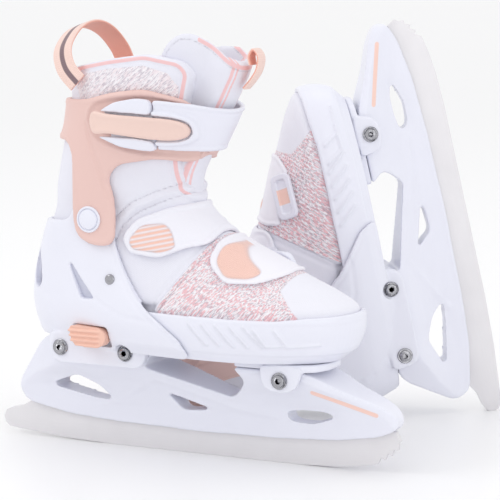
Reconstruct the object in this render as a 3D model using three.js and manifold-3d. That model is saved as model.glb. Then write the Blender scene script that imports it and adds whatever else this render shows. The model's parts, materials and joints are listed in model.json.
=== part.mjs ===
// A pair of size-adjustable figure-style ice skates: the right one stands on its blade, the left one
// lies tipped back on its heel behind it. Millimetres, +Z up, toes along +X, medial side of the right
// skate along +Y. One function builds a skate; the left skate is its mirror image.

import * as THREE from 'three';
import { mergeVertices } from 'three/addons/utils/BufferGeometryUtils.js';
import Module from 'manifold-3d';

const wasm = await Module();
wasm.setup();

// ---- driving dimensions ------------------------------------------------------------------------

const GAP = 0.35;                  // clearance between parts that touch
const RING_POINTS = 20;            // points round one section of the boot form

const BLADE_HALF = 1.8;            // half the thickness of the steel
const HOLDER_TOP = 62;             // height of the holder's front tower
const HEEL_TOP = 72;               // height of its heel tower
const HOLDER_HALF = 21.6;          // half the holder's width at its top
const PLATE_TOP = 67;              // top of the base plate
const SHELL_FLOOR = PLATE_TOP + GAP;
const HEEL_FLOOR = HEEL_TOP + GAP; // underside of the heel shell's floor
const HEEL_FLOOR_TOP = HEEL_FLOOR + 2.7;
const FLANGE_INNER = HOLDER_HALF + GAP + 0.2;
const FLANGE_OUTER = 27.2;         // outer face of the heel flanges
const LUG_OUTER = 26.2;            // outer face of the base plate's front lugs
const BOLT_RADIUS = 3;
const BOLT_HEAD_RADIUS = 5.2;
const BOLT_HEAD_HEIGHT = 2;

const TOE_WALL = 2.6;              // wall of the sliding toe shell
const SHELL_WALL = 3;              // wall of heel shell and cuff
const LINER_WALL = 6;              // padding round the foot
const TOE_SPLIT = 24;              // x where the sliding toe's soft parts begin
const TOE_REACH = -34;             // how far back the toe shell's walls reach
const TOE_SWING = 6;               // how far the toe leans to the medial side

const CUFF_PIVOT = [-55, 151];     // x, z of the cuff's hinge
const SHELL_RIVET = [-40, 114];    // plain rivet on the heel shell's lateral side
const CUFF_INNER = 4.1;            // growth of the boot form at the cuff's inner face
const STRAP_INNER = 8.2;           // the same for the power strap, outside the cuff
const STRAP_OUTER = 11.2;

const REAR_BOLT = [-82, 66.5];
const MIDDLE_BOLT = [-35, 66];
const FRONT_BOLT = [71, 57];

const BUTTON = { x: -56.5, z: 76.5, length: 27, height: 12.5, face: 38.6, back: 30.5 };
const SPRING = { radius: 3.3, wire: 0.5, turns: 3.5, from: 26.4, to: 34.6 };

const STRAP_RIVET = [-28.5, 207];   // medial anchor of the power strap
const LEVER_AXIS = [12.5, 208.5];  // where the buckle lever hinges on the strap
const WEBBING_THICK = 1.6;

const LEFT_YAW = 29.7;             // how the lying skate is turned on the floor, degrees
const LEFT_PITCH = 102.88;         // how far it is tipped back, degrees
const LEFT_PLACE = [114, 193];     // where its mid-blade point lies on the floor plan

// The boot form: height, heel end, toe end, half-width at the heel, half-width at the ball.
const FORM = [
  [66, -97, 95, 21, 35],
  [75, -102, 105, 27.5, 40.5],
  [90, -106, 109, 32.5, 43.5],
  [99, -107, 107.5, 33, 42.5],
  [107, -107, 97, 33, 38.5],
  [116, -106.5, 79, 32.5, 34],
  [125, -105, 61, 32, 31],
  [134, -102.5, 41, 31.5, 29.5],
  [144, -99, 23, 31.5, 29],
  [160, -93, 9, 32, 29],
  [180, -89, 9, 33.5, 30.5],
  [198, -85, 15, 35, 32.5],
  [210, -80, 20, 36, 33.5],
  [228, -78, 27, 37, 34.5],
  [250, -79, 36, 38, 35.5],
  [272, -80, 45, 38, 35.5],
];

// ---- colours -----------------------------------------------------------------------------------

const finish = (color, roughness, metalness) =>
  new THREE.MeshStandardMaterial({ color, roughness, metalness });

const WHITE_PLASTIC = finish(0xf0f1f7, 0.3, 0);
const PEACH_PLASTIC = finish(0xeecdc8, 0.4, 0);
const PEACH_BUTTON = finish(0xfccdb4, 0.45, 0);
const WHITE_PADDING = finish(0xf2f2f6, 0.8, 0);
const KNIT = finish(0xe6d2dc, 0.9, 0);
const WEBBING = finish(0xf2c8b8, 0.85, 0);
const STEEL = finish(0xe1e0e2, 0.35, 1);
const CHROME = finish(0xb8b8bc, 0.15, 1);

// ---- solids ------------------------------------------------------------------------------------

/** A closed three.js geometry as a solid that can be joined and cut. */
function solid(geometry) {
  const bare = geometry.clone();
  bare.deleteAttribute('normal');
  bare.deleteAttribute('uv');
  const merged = mergeVertices(bare, 1e-4);
  return new wasm.Manifold(new wasm.Mesh({
    numProp: 3,
    vertProperties: new Float32Array(merged.attributes.position.array),
    triVerts: new Uint32Array(merged.index.array),
  }));
}

/** The solid as a three.js geometry. */
function geometryOf(body) {
  const mesh = body.getMesh();
  const geometry = new THREE.BufferGeometry();
  geometry.setAttribute('position', new THREE.BufferAttribute(new Float32Array(mesh.vertProperties), 3));
  geometry.setIndex(new THREE.BufferAttribute(new Uint32Array(mesh.triVerts), 1));
  return geometry;
}

/** A side outline of [x, z] points, extruded across the skate from y = from to y = to. */
function sidePrism(outline, from, to) {
  const shape = new THREE.Shape(outline.map(([x, z]) => new THREE.Vector2(x, z)));
  const geometry = new THREE.ExtrudeGeometry(shape, { depth: to - from, bevelEnabled: false });
  geometry.rotateX(Math.PI / 2);
  geometry.translate(0, to, 0);
  return solid(geometry);
}

/** A floor outline of [x, y] points, extruded upwards. */
function planPrism(outline, low, high) {
  const shape = new THREE.Shape(outline.map(([x, y]) => new THREE.Vector2(x, y)));
  const geometry = new THREE.ExtrudeGeometry(shape, { depth: high - low, bevelEnabled: false });
  geometry.translate(0, 0, low);
  return solid(geometry);
}

/** A cross outline of [y, z] points, extruded along the skate. */
function crossPrism(outline, from, to) {
  const shape = new THREE.Shape(outline.map(([y, z]) => new THREE.Vector2(y, z)));
  const geometry = new THREE.ExtrudeGeometry(shape, { depth: to - from, bevelEnabled: false });
  geometry.rotateY(Math.PI / 2);
  geometry.rotateX(Math.PI / 2);
  geometry.translate(from, 0, 0);
  return solid(geometry);
}

/** A box between two corners. */
function block([x0, y0, z0], [x1, y1, z1]) {
  const geometry = new THREE.BoxGeometry(x1 - x0, y1 - y0, z1 - z0);
  geometry.translate((x0 + x1) / 2, (y0 + y1) / 2, (z0 + z1) / 2);
  return solid(geometry);
}

/** A round bar across the skate, centred on [x, z]. */
function crossBar([x, z], radius, from, to, sides = 20) {
  const geometry = new THREE.CylinderGeometry(radius, radius, to - from, sides);
  geometry.translate(x, (from + to) / 2, z);
  return solid(geometry);
}

/** Mirror a [y, z] half outline about the skate's middle plane. */
function mirrored(half) {
  return half.concat(half.map(([y, z]) => [-y, z]).reverse());
}

/** A lofted strip: rings of points joined in order, closed at both ends. */
function loft(rings) {
  const count = rings[0].length;
  const positions = rings.flat().flatMap((point) => point);
  const centre = (ring) => ring.reduce((sum, p) => sum.map((v, i) => v + p[i] / count), [0, 0, 0]);
  positions.push(...centre(rings[0]), ...centre(rings.at(-1)));
  const faces = [];
  for (let level = 0; level + 1 < rings.length; level += 1) {
    for (let i = 0; i < count; i += 1) {
      const a = level * count + i;
      const b = level * count + (i + 1) % count;
      faces.push(a, b, b + count, a, b + count, a + count);
    }
  }
  const last = (rings.length - 1) * count;
  const bottomCentre = rings.length * count;
  for (let i = 0; i < count; i += 1) {
    const next = (i + 1) % count;
    faces.push(bottomCentre, next, i, bottomCentre + 1, last + i, last + next);
  }
  const geometry = new THREE.BufferGeometry();
  geometry.setAttribute('position', new THREE.BufferAttribute(new Float32Array(positions), 3));
  geometry.setIndex(faces);
  return solid(geometry);
}

// ---- the boot form -----------------------------------------------------------------------------

/** One row of the form table at height z, run smoothly between the rows given. */
function formRow(z) {
  const last = FORM.length - 1;
  const upper = Math.min(Math.max(FORM.findIndex((row) => row[0] > z), 1), last);
  const k = z >= FORM[last][0] ? last : upper;
  const [p0, p1, p2, p3] = [Math.max(k - 2, 0), k - 1, k, Math.min(k + 1, last)].map((i) => FORM[i]);
  const t = THREE.MathUtils.clamp((z - p1[0]) / (p2[0] - p1[0]), 0, 1);
  const slope = (a, b, c) => {
    const before = (b - a) || 0;
    const after = (c - b) || 0;
    return before * after <= 0 ? 0 : (2 * before * after) / (before + after);
  };
  return p1.slice(1).map((value, i) => {
    const j = i + 1;
    const m1 = slope(p0[j], p1[j], p2[j]);
    const m2 = slope(p1[j], p2[j], p3[j]);
    const h = t * t * (3 - 2 * t);
    return value + h * (p2[j] - value) + t * (1 - t) * ((1 - t) * m1 - t * m2);
  });
}

const rounded = (value, power) => Math.sign(value) * Math.abs(value) ** power;

/** The form's outline at height z, grown outwards by grow. */
function formRing(z, grow) {
  const [back, front, rearHalf, frontHalf] = formRow(z);
  const middle = (back + front) / 2;
  const reach = (front - back) / 2;
  return Array.from({ length: RING_POINTS }, (_, i) => {
    const angle = (2 * Math.PI * i) / RING_POINTS;
    const along = rounded(Math.cos(angle), 0.85);
    const share = THREE.MathUtils.smoothstep(along, -0.8, 0.6);
    const half = rearHalf + (frontHalf - rearHalf) * share + grow;
    const x = middle + (reach + grow) * along;
    const swing = TOE_SWING * Math.max(0, (x - 20) / 90) ** 2;
    return [x, half * rounded(Math.sin(angle), 0.8) + swing, z];
  });
}

/** How far the form's side stands from the middle plane at [x, z]. */
function sideOf([x, z], grow) {
  const ring = formRing(z, grow).slice(0, RING_POINTS / 2 + 1);
  const k = ring.findIndex((point) => point[0] <= x);
  const [a, b] = [ring[k - 1], ring[k]];
  return a[1] + ((x - a[0]) / (b[0] - a[0])) * (b[1] - a[1]);
}

/** The form as a solid between two heights; grow is a number or a function of the height. */
function form(grow, low, high) {
  const growth = typeof grow === 'function' ? grow : () => grow;
  const inside = FORM.map(([z]) => z).filter((z) => z > low + 2 && z < high - 2);
  return loft([low, ...inside, high].map((z) => formRing(z, growth(z))));
}

// ---- runner: blade, holder, base plate, bolts -------------------------------------------------

/** The steel runner with its rounded tail and toe picks. */
function blade() {
  const picks = [[126, 5.5], [128.2, 10], [130.8, 8.4], [132.6, 12.6], [135.2, 11.3], [136.6, 15.6],
    [139, 14.9], [139.4, 19.2], [141, 21]];
  return sidePrism([
    [-138, 4.6], [-120, 3.2], [-95, 1.2], [-60, 0], [75, 0], [100, 1.2], [114, 3], ...picks,
    [138, 26.6], [128, 29.5], [101, 25], [60, 22], [5, 21.3], [-60, 22.5], [-112, 27],
    [-119, 24.5], [-136, 18.2], [-140, 14.5],
  ], -BLADE_HALF, BLADE_HALF);
}

/** The white blade holder with its windows, on a slot for the runner. */
function bladeHolder() {
  const side = sidePrism([
    [-119, 24], [-90, 18.3], [-60, 16.3], [5, 15], [60, 15.9], [101, 18.3], [128, 23], [137, 26.8],
    [141, 31], [140, 37.5], [130, 43.5], [110, 50.5], [95, 57.6], [84, HOLDER_TOP],
    [-18, HOLDER_TOP], [-21, HEEL_TOP], [-97, HEEL_TOP], [-104, 67], [-125, 37.5], [-123.5, 30],
  ], -HOLDER_HALF, HOLDER_HALF);
  const width = crossPrism(mirrored([
    [-4.2, 10], [-5.4, 20], [-7.4, 30], [-12.5, 43], [-19, 52], [-HOLDER_HALF, 57],
    [-HOLDER_HALF, HEEL_TOP + 1],
  ]), -130, 145);
  const plan = planPrism([
    [-128, -8], [-104, -15], [-86, -HOLDER_HALF], [84, -HOLDER_HALF], [105, -16], [142, -8],
    [142, 8], [105, 16], [84, HOLDER_HALF], [-86, HOLDER_HALF], [-104, 15], [-128, 8],
  ], 0, HEEL_TOP + 1);
  const windows = [
    [[-99, 38], [-78, 46], [-64, 39.5], [-56, 31], [-68, 32]],
    [[-26, 57], [-18.5, 66.5], [-17, 80], [36, 80], [37, 60.5], [43.5, 54.5], [42, 50], [32.5, 40.5]],
    [[-15, 40], [-5.5, 29.5], [-2, 28.7], [17.5, 30.5]],
    [[68, 33.5], [79, 35.3], [92, 35.5], [100, 33.2], [84, 28], [70, 29]],
  ];
  const slot = sidePrism([
    [-150, -5], [150, -5], [150, 31], [128, 29.5 + GAP], [101, 25 + GAP], [60, 22 + GAP],
    [5, 21.3 + GAP], [-60, 22.5 + GAP], [-112.3, 27 + GAP], [-119.3, 24.5 + GAP], [-150, 14],
  ], -BLADE_HALF - GAP, BLADE_HALF + GAP);
  let holder = side.intersect(width).intersect(plan).subtract(slot);
  for (const window of windows) holder = holder.subtract(sidePrism(window, -40, 40));
  for (const centre of [REAR_BOLT, MIDDLE_BOLT, FRONT_BOLT]) {
    holder = holder.subtract(crossBar(centre, BOLT_RADIUS + GAP, -40, 40, 16));
  }
  return holder;
}

/** The sole plate between holder and shells, with two lugs for the front bolt. */
function basePlate() {
  const half = HOLDER_HALF;
  const plate = planPrism([
    [37, -half], [58, -half], [62, -LUG_OUTER], [80, -LUG_OUTER], [92, -20], [97, -9],
    [97, 9], [92, 20], [80, LUG_OUTER], [62, LUG_OUTER], [58, half], [37, half],
  ], HOLDER_TOP + GAP, PLATE_TOP);
  const lug = [[58, PLATE_TOP - 1], [60, 52], [66, 49.5], [76, 49.5], [82, 52], [85, PLATE_TOP - 1]];
  const nose = sidePrism([[86, 64], [87, 61.9], [95, 58.4], [97, 61], [97, 64]], -9, 9);
  return plate.add(nose)
    .add(sidePrism(lug, FLANGE_INNER, LUG_OUTER))
    .add(sidePrism(lug, -LUG_OUTER, -FLANGE_INNER))
    .subtract(crossBar(FRONT_BOLT, BOLT_RADIUS + GAP, -40, 40, 16));
}

/** A through bolt with a socket head on each side; face is where its heads sit. */
function bolt(centre, face) {
  const reach = face + GAP;
  const shank = crossBar(centre, BOLT_RADIUS, -reach - 0.5, reach + 0.5, 12);
  const heads = [-1, 1].map((side) => {
    const [from, to] = side > 0 ? [reach, reach + BOLT_HEAD_HEIGHT] : [-reach - BOLT_HEAD_HEIGHT, -reach];
    const socket = side > 0 ? [to - 1.1, to + 1] : [from - 1, from + 1.1];
    return crossBar(centre, BOLT_HEAD_RADIUS, from, to, 16)
      .subtract(crossBar(centre, 2.2, socket[0], socket[1], 6));
  });
  return shank.add(heads[0]).add(heads[1]);
}

// ---- hard boot: heel shell, toe shell, cuff ---------------------------------------------------

/** Growth of the heel shell's outside: wide over the sliding toe, slim under the cuff. */
const heelGrowth = (z) => 3.4 + 3 * (1 - THREE.MathUtils.smoothstep(z, 92, 132));

/** The heel cup with its ankle ears, floor, bolt flanges, vents and button window. */
function heelShell() {
  const profile = sidePrism([
    [-125, SHELL_FLOOR], [16, SHELL_FLOOR], [12, 79], [-13, 98], [-22, 107], [-32, 121],
    [-39, 136], [-41, 158], [-46, 164], [-62, 164], [-69, 158], [-74, 149], [-125, 146],
  ], -60, 60);
  const outside = form(heelGrowth, SHELL_FLOOR, 166).intersect(profile);
  const footRoom = form(0.4, HEEL_FLOOR_TOP, 170);
  const toeRoom = form(TOE_WALL + 0.8, 60, 101).intersect(
    block([TOE_REACH - 1, -60, HEEL_FLOOR_TOP], [60, 60, 110]).add(block([-19, -60, 60], [60, 60, 110])),
  );
  const holderRoom = block([-130, -FLANGE_INNER, 60], [-19, FLANGE_INNER, HEEL_FLOOR]);
  const flange = [[-89, 74], [-88, 58], [-85, 56.5], [-27, 56.5], [-23, 60], [-20.5, 74]];
  let shell = outside.subtract(footRoom).subtract(toeRoom).subtract(holderRoom)
    .add(sidePrism(flange, FLANGE_INNER, FLANGE_OUTER))
    .add(sidePrism(flange, -FLANGE_OUTER, -FLANGE_INNER));
  for (const centre of [REAR_BOLT, MIDDLE_BOLT]) {
    shell = shell.subtract(crossBar(centre, BOLT_RADIUS + GAP, -60, 60, 16));
    for (const side of [-1, 1]) {
      const [from, to] = side > 0 ? [FLANGE_OUTER, 60] : [-60, -FLANGE_OUTER];
      shell = shell.subtract(crossBar(centre, BOLT_HEAD_RADIUS + 1, from, to, 16));
    }
  }
  const vent = [[-75, 125], [-62, 101], [-52, 101]];
  const rearVent = [[-103, 127], [-99, 118], [-98, 108], [-101, 103], [-105, 105], [-106, 116]];
  for (const side of [-1, 1]) {
    const [from, to] = side > 0 ? [12, 60] : [-60, -12];
    shell = shell.subtract(sidePrism(vent, from, to)).subtract(sidePrism(rearVent, from, to));
  }
  const { x, z, length, height } = BUTTON;
  const [halfLength, halfHeight] = [length / 2 + 0.5, height / 2 + 0.5];
  const window = block([x - halfLength, -60, z - halfHeight], [x + halfLength, -SPRING.from + 0.4, z + halfHeight]);
  const springSeat = block([x - 5.5, -SPRING.from + 0.4, 73], [x + 5.5, -SPRING.from + 1.6, z + 5]);
  return shell.subtract(window).add(springSeat).subtract(crossBar(CUFF_PIVOT, 4.4, -60, 60, 16))
    .subtract(crossBar(SHELL_RIVET, 2, -60, 0, 12));
}

/** The toe cup, which slides forward out of the heel shell to lengthen the boot. */
function toeShell() {
  const profile = sidePrism([
    [TOE_REACH, HEEL_FLOOR_TOP + GAP], [-18, HEEL_FLOOR_TOP + GAP], [-17.5, SHELL_FLOOR], [125, SHELL_FLOOR],
    [125, 98], [72, 95], [25, 95.5], [-14, 96], [TOE_REACH, 96],
  ], -60, 60);
  return form(TOE_WALL + 0.4, SHELL_FLOOR, 99).subtract(form(0.4, SHELL_FLOOR + 2.4, 110)).intersect(profile);
}

/** The hinged ankle cuff: two arms, a band round the back and a band forward over the shin. */
function cuff() {
  const profile = sidePrism([
    [-110, 202], [-70, 199], [-66.5, 190], [-67, 150], [-64, 141], [-55, 135.5], [-42, 135], [-37.5, 139],
    [-38, 164], [-41, 178], [-33, 186], [-10, 190], [7, 187], [13, 200], [18, 219],
    [8, 227], [-13, 233.5], [-35, 231], [-55, 226], [-110, 224],
  ], -70, 70);
  const body = form(CUFF_INNER + SHELL_WALL, 130, 240).intersect(profile).subtract(form(CUFF_INNER, 120, 250));
  const seat = sideOf(CUFF_PIVOT, CUFF_INNER + SHELL_WALL) - 0.7;
  return body.subtract(crossBar(CUFF_PIVOT, 4.4, -70, 70, 16))
    .subtract(crossBar(CUFF_PIVOT, 9, seat, 70)).subtract(crossBar(CUFF_PIVOT, 9, -70, -seat))
    .subtract(crossBar(STRAP_RIVET, 2.8, 0, 70, 12));
}

/** A pivot rivet with a wide domed cap outside the cuff; side is -1 lateral, 1 medial. */
function pivotRivet(side) {
  const start = sideOf(CUFF_PIVOT, 0.4) + 0.6;
  const seat = sideOf(CUFF_PIVOT, CUFF_INNER + SHELL_WALL) - 0.7 + GAP - start;
  const profile = [[0, 0], [4, 0], [4, seat], [8.2, seat], [8.2, seat + 1.2], [6.4, seat + 2.4], [0, seat + 2.6]];
  const geometry = new THREE.LatheGeometry(profile.map(([r, y]) => new THREE.Vector2(r, y)), 16);
  if (side < 0) geometry.rotateX(Math.PI);
  geometry.translate(CUFF_PIVOT[0], side * start, CUFF_PIVOT[1]);
  return solid(geometry);
}

/** The plain rivet on the lateral side of the heel shell. */
function shellRivet() {
  const seat = sideOf(SHELL_RIVET, heelGrowth(SHELL_RIVET[1])) + 0.8;
  return crossBar(SHELL_RIVET, 3.4, -seat - 1.4, -seat, 14)
    .add(crossBar(SHELL_RIVET, 1.6, -seat - 0.5, -seat + 3, 12));
}

/** The size button, hollow behind for its spring. */
function sizeButton() {
  const { x, z, length, height, face, back } = BUTTON;
  const [low, high, rear, front] = [z - height / 2, z + height / 2, x - length / 2, x + length / 2];
  const cap = sidePrism([
    [rear + 2, low], [front - 5, low], [front - 1.5, low + 2], [front, z], [front - 1.5, high - 2],
    [front - 5, high], [rear, high],
  ], -face, -back);
  return cap.subtract(crossBar([x, z], 4.5, -35, -back + 1, 16));
}

/** A coil spring across the skate behind the button. */
function buttonSpring() {
  const { radius, wire, turns, from, to } = SPRING;
  const steps = Math.round(8 * turns);
  const points = Array.from({ length: steps + 1 }, (_, i) => {
    const angle = (2 * Math.PI * turns * i) / steps;
    return new THREE.Vector3(
      BUTTON.x + radius * Math.cos(angle), -to + wire + ((to - from - 2 * wire) * i) / steps,
      BUTTON.z + radius * Math.sin(angle),
    );
  });
  const section = new THREE.Shape(Array.from({ length: 4 }, (_, i) => new THREE.Vector2(
    wire * Math.cos((Math.PI * i) / 2), wire * Math.sin((Math.PI * i) / 2),
  )));
  const path = new THREE.CatmullRomCurve3(points);
  return solid(new THREE.ExtrudeGeometry(section, { steps, extrudePath: path, bevelEnabled: false }));
}

// ---- soft boot: liner, collar, tongue, vamp, insole -------------------------------------------

/** The padded foot part of the liner, behind the sliding toe and below the cuff. */
function liner() {
  const low = HEEL_FLOOR_TOP + GAP;
  const profile = sidePrism([
    [-120, low], [TOE_SPLIT - GAP, low], [TOE_SPLIT - GAP, 164], [-45, 149.5], [-120, 149],
  ], -60, 60);
  const toeRoom = block([TOE_REACH - 1, -60, 60], [60, 60, 100]).subtract(form(-2.7, 55, 105));
  const pocket = block([-73, -60, 60], [-40, -SPRING.from + 2, 87]);
  return form(0, low, 166).subtract(form(-LINER_WALL, low + LINER_WALL, 170))
    .intersect(profile).subtract(toeRoom).subtract(pocket);
}

/** The padded collar round the shaft, which swings with the cuff. */
function collar() {
  const profile = sidePrism([
    [-110, 161], [-2, 178], [2.5, 200], [8, 225], [14, 244], [8, 249.5], [-14, 254], [-40, 250.5],
    [-60, 247], [-74, 243.5], [-110, 242.5],
  ], -60, 60);
  return form(3.6, 155, 258).subtract(form(-LINER_WALL, 150, 262)).intersect(profile);
}

/** The padded tongue: a front face over the shin and two wings inside the collar. */
function tongue() {
  const front = form(3.6, 180, 268).subtract(form(-8, 175, 271)).intersect(sidePrism([
    [-0.8, 181], [3, 200], [8.5, 225], [14.6, 244.4], [15, 263], [22, 258], [35, 246], [60, 234], [60, 186],
  ], -60, 60));
  const wings = form(-LINER_WALL - 0.5, 180, 268).subtract(form(-10, 175, 271)).intersect(sidePrism([
    [-14, 181], [20, 181], [40, 240], [20, 259], [10, 266], [2, 263], [-6, 254],
  ], -60, 60));
  return front.add(wings);
}

/** The soft toe part of the upper, which slides with the toe shell. */
function vamp() {
  return form(0, SHELL_FLOOR + 2.75, 166).subtract(form(-4.5, SHELL_FLOOR + 7, 170))
    .intersect(block([TOE_SPLIT, -60, 60], [130, 60, 146]));
}

/** The removable insole. */
function insole() {
  const bed = HEEL_FLOOR_TOP + GAP + LINER_WALL + GAP;
  return form(-LINER_WALL - 0.6, bed, bed + 3).intersect(block([-120, -60, 60], [88, 60, 100]))
    .subtract(block([-74, -60, 60], [-39, -SPRING.from + 3, 90]));
}

// ---- straps, rings and buckle -----------------------------------------------------------------

const SIDE = { lateral: [-70, -0.5], medial: [3.4, 70] };

/** A band over the form between two growths, cut to a side outline and one side of the boot. */
function band(inner, outer, outline, [from, to], low = 100, high = 240) {
  return form(outer, low, high).subtract(form(inner, low - 5, high + 5)).intersect(sidePrism(outline, from, to));
}

const MID_STRAP_END = [
  [-33, 141], [-28, 131], [-8, 129], [9, 135.5], [22.6, 139], [22.6, 146], [8, 160], [-4, 157], [-24, 152],
];
const FRONT_STRAP_END = [[24.2, 127], [38, 116], [55, 116.5], [72, 122], [62, 134], [32, 146], [24.2, 146]];

/** The hook-and-loop strap's free end, from the ridge of the instep down the lateral side. */
const strapFlap = (outline) => band(0.5, 3.5, outline, SIDE.lateral);

/** The strap's medial end, returned through its white ring; centre is where the ring lies. */
function strapAnchor(outline, centre) {
  const onSide = (x, z) => new THREE.Vector3(x, sideOf([x, z], 0), z);
  const [x, z] = centre;
  const along = onSide(x + 8, z).sub(onSide(x - 8, z)).normalize();
  const up = onSide(x, z + 4).sub(onSide(x, z - 4));
  const out = up.clone().cross(along).normalize();
  up.crossVectors(along, out).normalize();
  along.negate();
  const place = new THREE.Matrix4().makeBasis(along, up, out).setPosition(onSide(x, z).addScaledVector(out, 3.3));
  const corners = (u, v) => [[-u, -v], [u, -v], [u, v], [-u, v]].map((pair) => new THREE.Vector2(...pair));
  const ring = new THREE.Shape(corners(16, 7.5));
  ring.holes.push(new THREE.Path(corners(12.5, 4)));
  const frame = new THREE.ExtrudeGeometry(ring, { depth: 4.9, bevelEnabled: false });
  frame.translate(0, 0, -1.9);
  const webbingEnd = new THREE.BoxGeometry(23, 9, 3.8);
  webbingEnd.translate(0, 0, 0.1);
  const [a, b] = [frame, webbingEnd].map((geometry) => solid(geometry.applyMatrix4(place)));
  return band(0.5, 3, outline, SIDE.medial).add(a).add(b);
}

/** The mid strap's medial part. */
const midStrapAnchor = () => strapAnchor([
  [-22, 134], [6, 131], [12, 136], [22.6, 139], [22.6, 146], [8, 160], [-4, 158], [-18, 150],
], [-4, 141]);

/** The front strap's medial part. */
const frontStrapAnchor = () => strapAnchor([
  [26, 128], [30, 118], [58, 115], [72, 122], [62, 134], [32, 146], [26, 142],
], [43, 121]);

/** The buckle's base on the cuff: two wedge lobes and the floor between them. */
function buckleBase() {
  const floor = band(7.5, 10.3, [[-45, 214], [-28, 224], [-8, 227], [-8, 197], [-28, 199]], [-70, -5]);
  const lobes = [
    [[-38, 218.5], [-28, 224], [-8, 227], [-8, 217.5]],
    [[-36, 206], [-28, 199], [-8, 197], [-8, 201]],
  ].map((outline) => band(9, 13.5, outline, [-70, -5]));
  return floor.add(lobes[0]).add(lobes[1]);
}

/** The peach lever, hinged at its front end on the strap. */
function buckleLever() {
  const outline = [
    [-45, 212.5], [-43, 216], [-38, 217.5], [-10, 216.3], [8, 214.5], [12.2, 212.5], [13.2, 209],
    [11.6, 204.5], [7, 202.8], [-10, 203.5], [-36, 207.5], [-42, 209],
  ];
  return band(12.1, 15.6, outline, [-70, -5]).subtract(leverPinSolid(1.5, 30));
}

/** A bar along the lever's hinge axis. */
function leverPinSolid(radius, length) {
  const geometry = new THREE.CylinderGeometry(radius, radius, length, 12);
  geometry.rotateX(Math.PI / 2);
  geometry.translate(LEVER_AXIS[0], -sideOf(LEVER_AXIS, 13.8), LEVER_AXIS[1]);
  return solid(geometry);
}

/** The power strap: from the medial anchor round the shin to the buckle. */
function powerStrap() {
  const outline = [[-19.5, 220], [-6, 226.5], [12, 224], [44, 216], [48, 190], [12, 195], [-6, 197.5], [-19.5, 199]];
  const wrap = band(STRAP_INNER, STRAP_OUTER, outline, [-70, 70], 150, 250)
    .subtract(block([-30, -70, 150], [-6.8, 0, 260]));
  const cheeks = [[[9.5, 220], [16, 219], [16, 214], [14, 215.2], [9.5, 215.2]], [[9.5, 202], [14, 202], [16, 203.5], [16, 199], [9.5, 199]]]
    .map((outline2) => band(10, 15.6, outline2, [-70, -5], 150, 250));
  return wrap.add(cheeks[0]).add(cheeks[1]).subtract(leverPinSolid(1.5, 30));
}

/** The rivet that holds the power strap's medial end on the cuff. */
function strapRivet() {
  const seat = sideOf(STRAP_RIVET, CUFF_INNER + SHELL_WALL) + 0.8;
  return crossBar(STRAP_RIVET, 2.4, seat - 3, seat + 0.5, 12).add(crossBar(STRAP_RIVET, 4, seat, seat + 2, 16));
}

/** Flat webbing along a list of points, its width lying as near to acrossHint as it can. */
function webbing(points, width, acrossHint) {
  const curve = new THREE.CatmullRomCurve3(points.map((p) => new THREE.Vector3(...p)));
  const steps = points.length * 2;
  const hint = new THREE.Vector3(...acrossHint);
  const rings = Array.from({ length: steps + 1 }, (_, i) => {
    const at = curve.getPoint(i / steps);
    const along = curve.getTangent(i / steps);
    const across = hint.clone().addScaledVector(along, -hint.dot(along)).normalize();
    const out = along.clone().cross(across);
    return [[-1, -1], [1, -1], [1, 1], [-1, 1]].map(([u, v]) => at.clone()
      .addScaledVector(across, (u * width) / 2).addScaledVector(out, (v * WEBBING_THICK) / 2).toArray());
  });
  return loft(rings);
}

/** The pull loop over the back of the collar. */
const heelLoop = () => webbing([
  [-61, -38.4, 236], [-70, -37, 245], [-75, -32, 256], [-76, -20, 266], [-75, -7, 271],
  [-74, 7, 271], [-72, 20, 266], [-70, 32, 256], [-67, 37, 245], [-60, 38.4, 236],
], 13, [1, 0, 0.35]);

/** The pull tab on the tongue. */
const tongueLoop = () => webbing([
  [36.5, 0, 233], [41.5, 0, 238.5], [45.5, 0, 245], [46.5, 0, 252.5], [43, 0, 257], [40, 0, 253], [41, 0, 247.5],
], 9, [0, 1, 0]);

// ---- the pair ----------------------------------------------------------------------------------

/** Every piece of one skate: name, solid and finish. */
const PIECES = [
  ['blade', blade(), STEEL],
  ['blade_holder', bladeHolder(), WHITE_PLASTIC],
  ['base_plate', basePlate(), WHITE_PLASTIC],
  ['rear_bolt', bolt(REAR_BOLT, FLANGE_OUTER), CHROME],
  ['middle_bolt', bolt(MIDDLE_BOLT, FLANGE_OUTER), CHROME],
  ['front_bolt', bolt(FRONT_BOLT, LUG_OUTER), CHROME],
  ['heel_shell', heelShell(), WHITE_PLASTIC],
  ['toe_shell', toeShell(), WHITE_PLASTIC],
  ['shell_rivet', shellRivet(), CHROME],
  ['size_button', sizeButton(), PEACH_BUTTON],
  ['button_spring', buttonSpring(), STEEL],
  ['cuff', cuff(), PEACH_PLASTIC],
  ['cuff_pivot_outer', pivotRivet(-1), WHITE_PLASTIC],
  ['cuff_pivot_inner', pivotRivet(1), WHITE_PLASTIC],
  ['buckle_base', buckleBase(), WHITE_PLASTIC],
  ['buckle_lever', buckleLever(), PEACH_PLASTIC],
  ['buckle_pin', leverPinSolid(1.1, 19.5), STEEL],
  ['power_strap', powerStrap(), WHITE_PLASTIC],
  ['strap_rivet', strapRivet(), CHROME],
  ['liner', liner(), WHITE_PADDING],
  ['collar', collar(), WHITE_PADDING],
  ['tongue', tongue(), WHITE_PADDING],
  ['vamp', vamp(), KNIT],
  ['insole', insole(), WHITE_PADDING],
  ['mid_strap', strapFlap(MID_STRAP_END), WHITE_PADDING],
  ['mid_strap_anchor', midStrapAnchor(), WHITE_PADDING],
  ['front_strap', strapFlap(FRONT_STRAP_END), WHITE_PADDING],
  ['front_strap_anchor', frontStrapAnchor(), WHITE_PADDING],
  ['heel_loop', heelLoop(), WEBBING],
  ['tongue_loop', tongueLoop(), WEBBING],
].map(([name, body, material]) => ({ name, geometry: geometryOf(body), material }));

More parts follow.
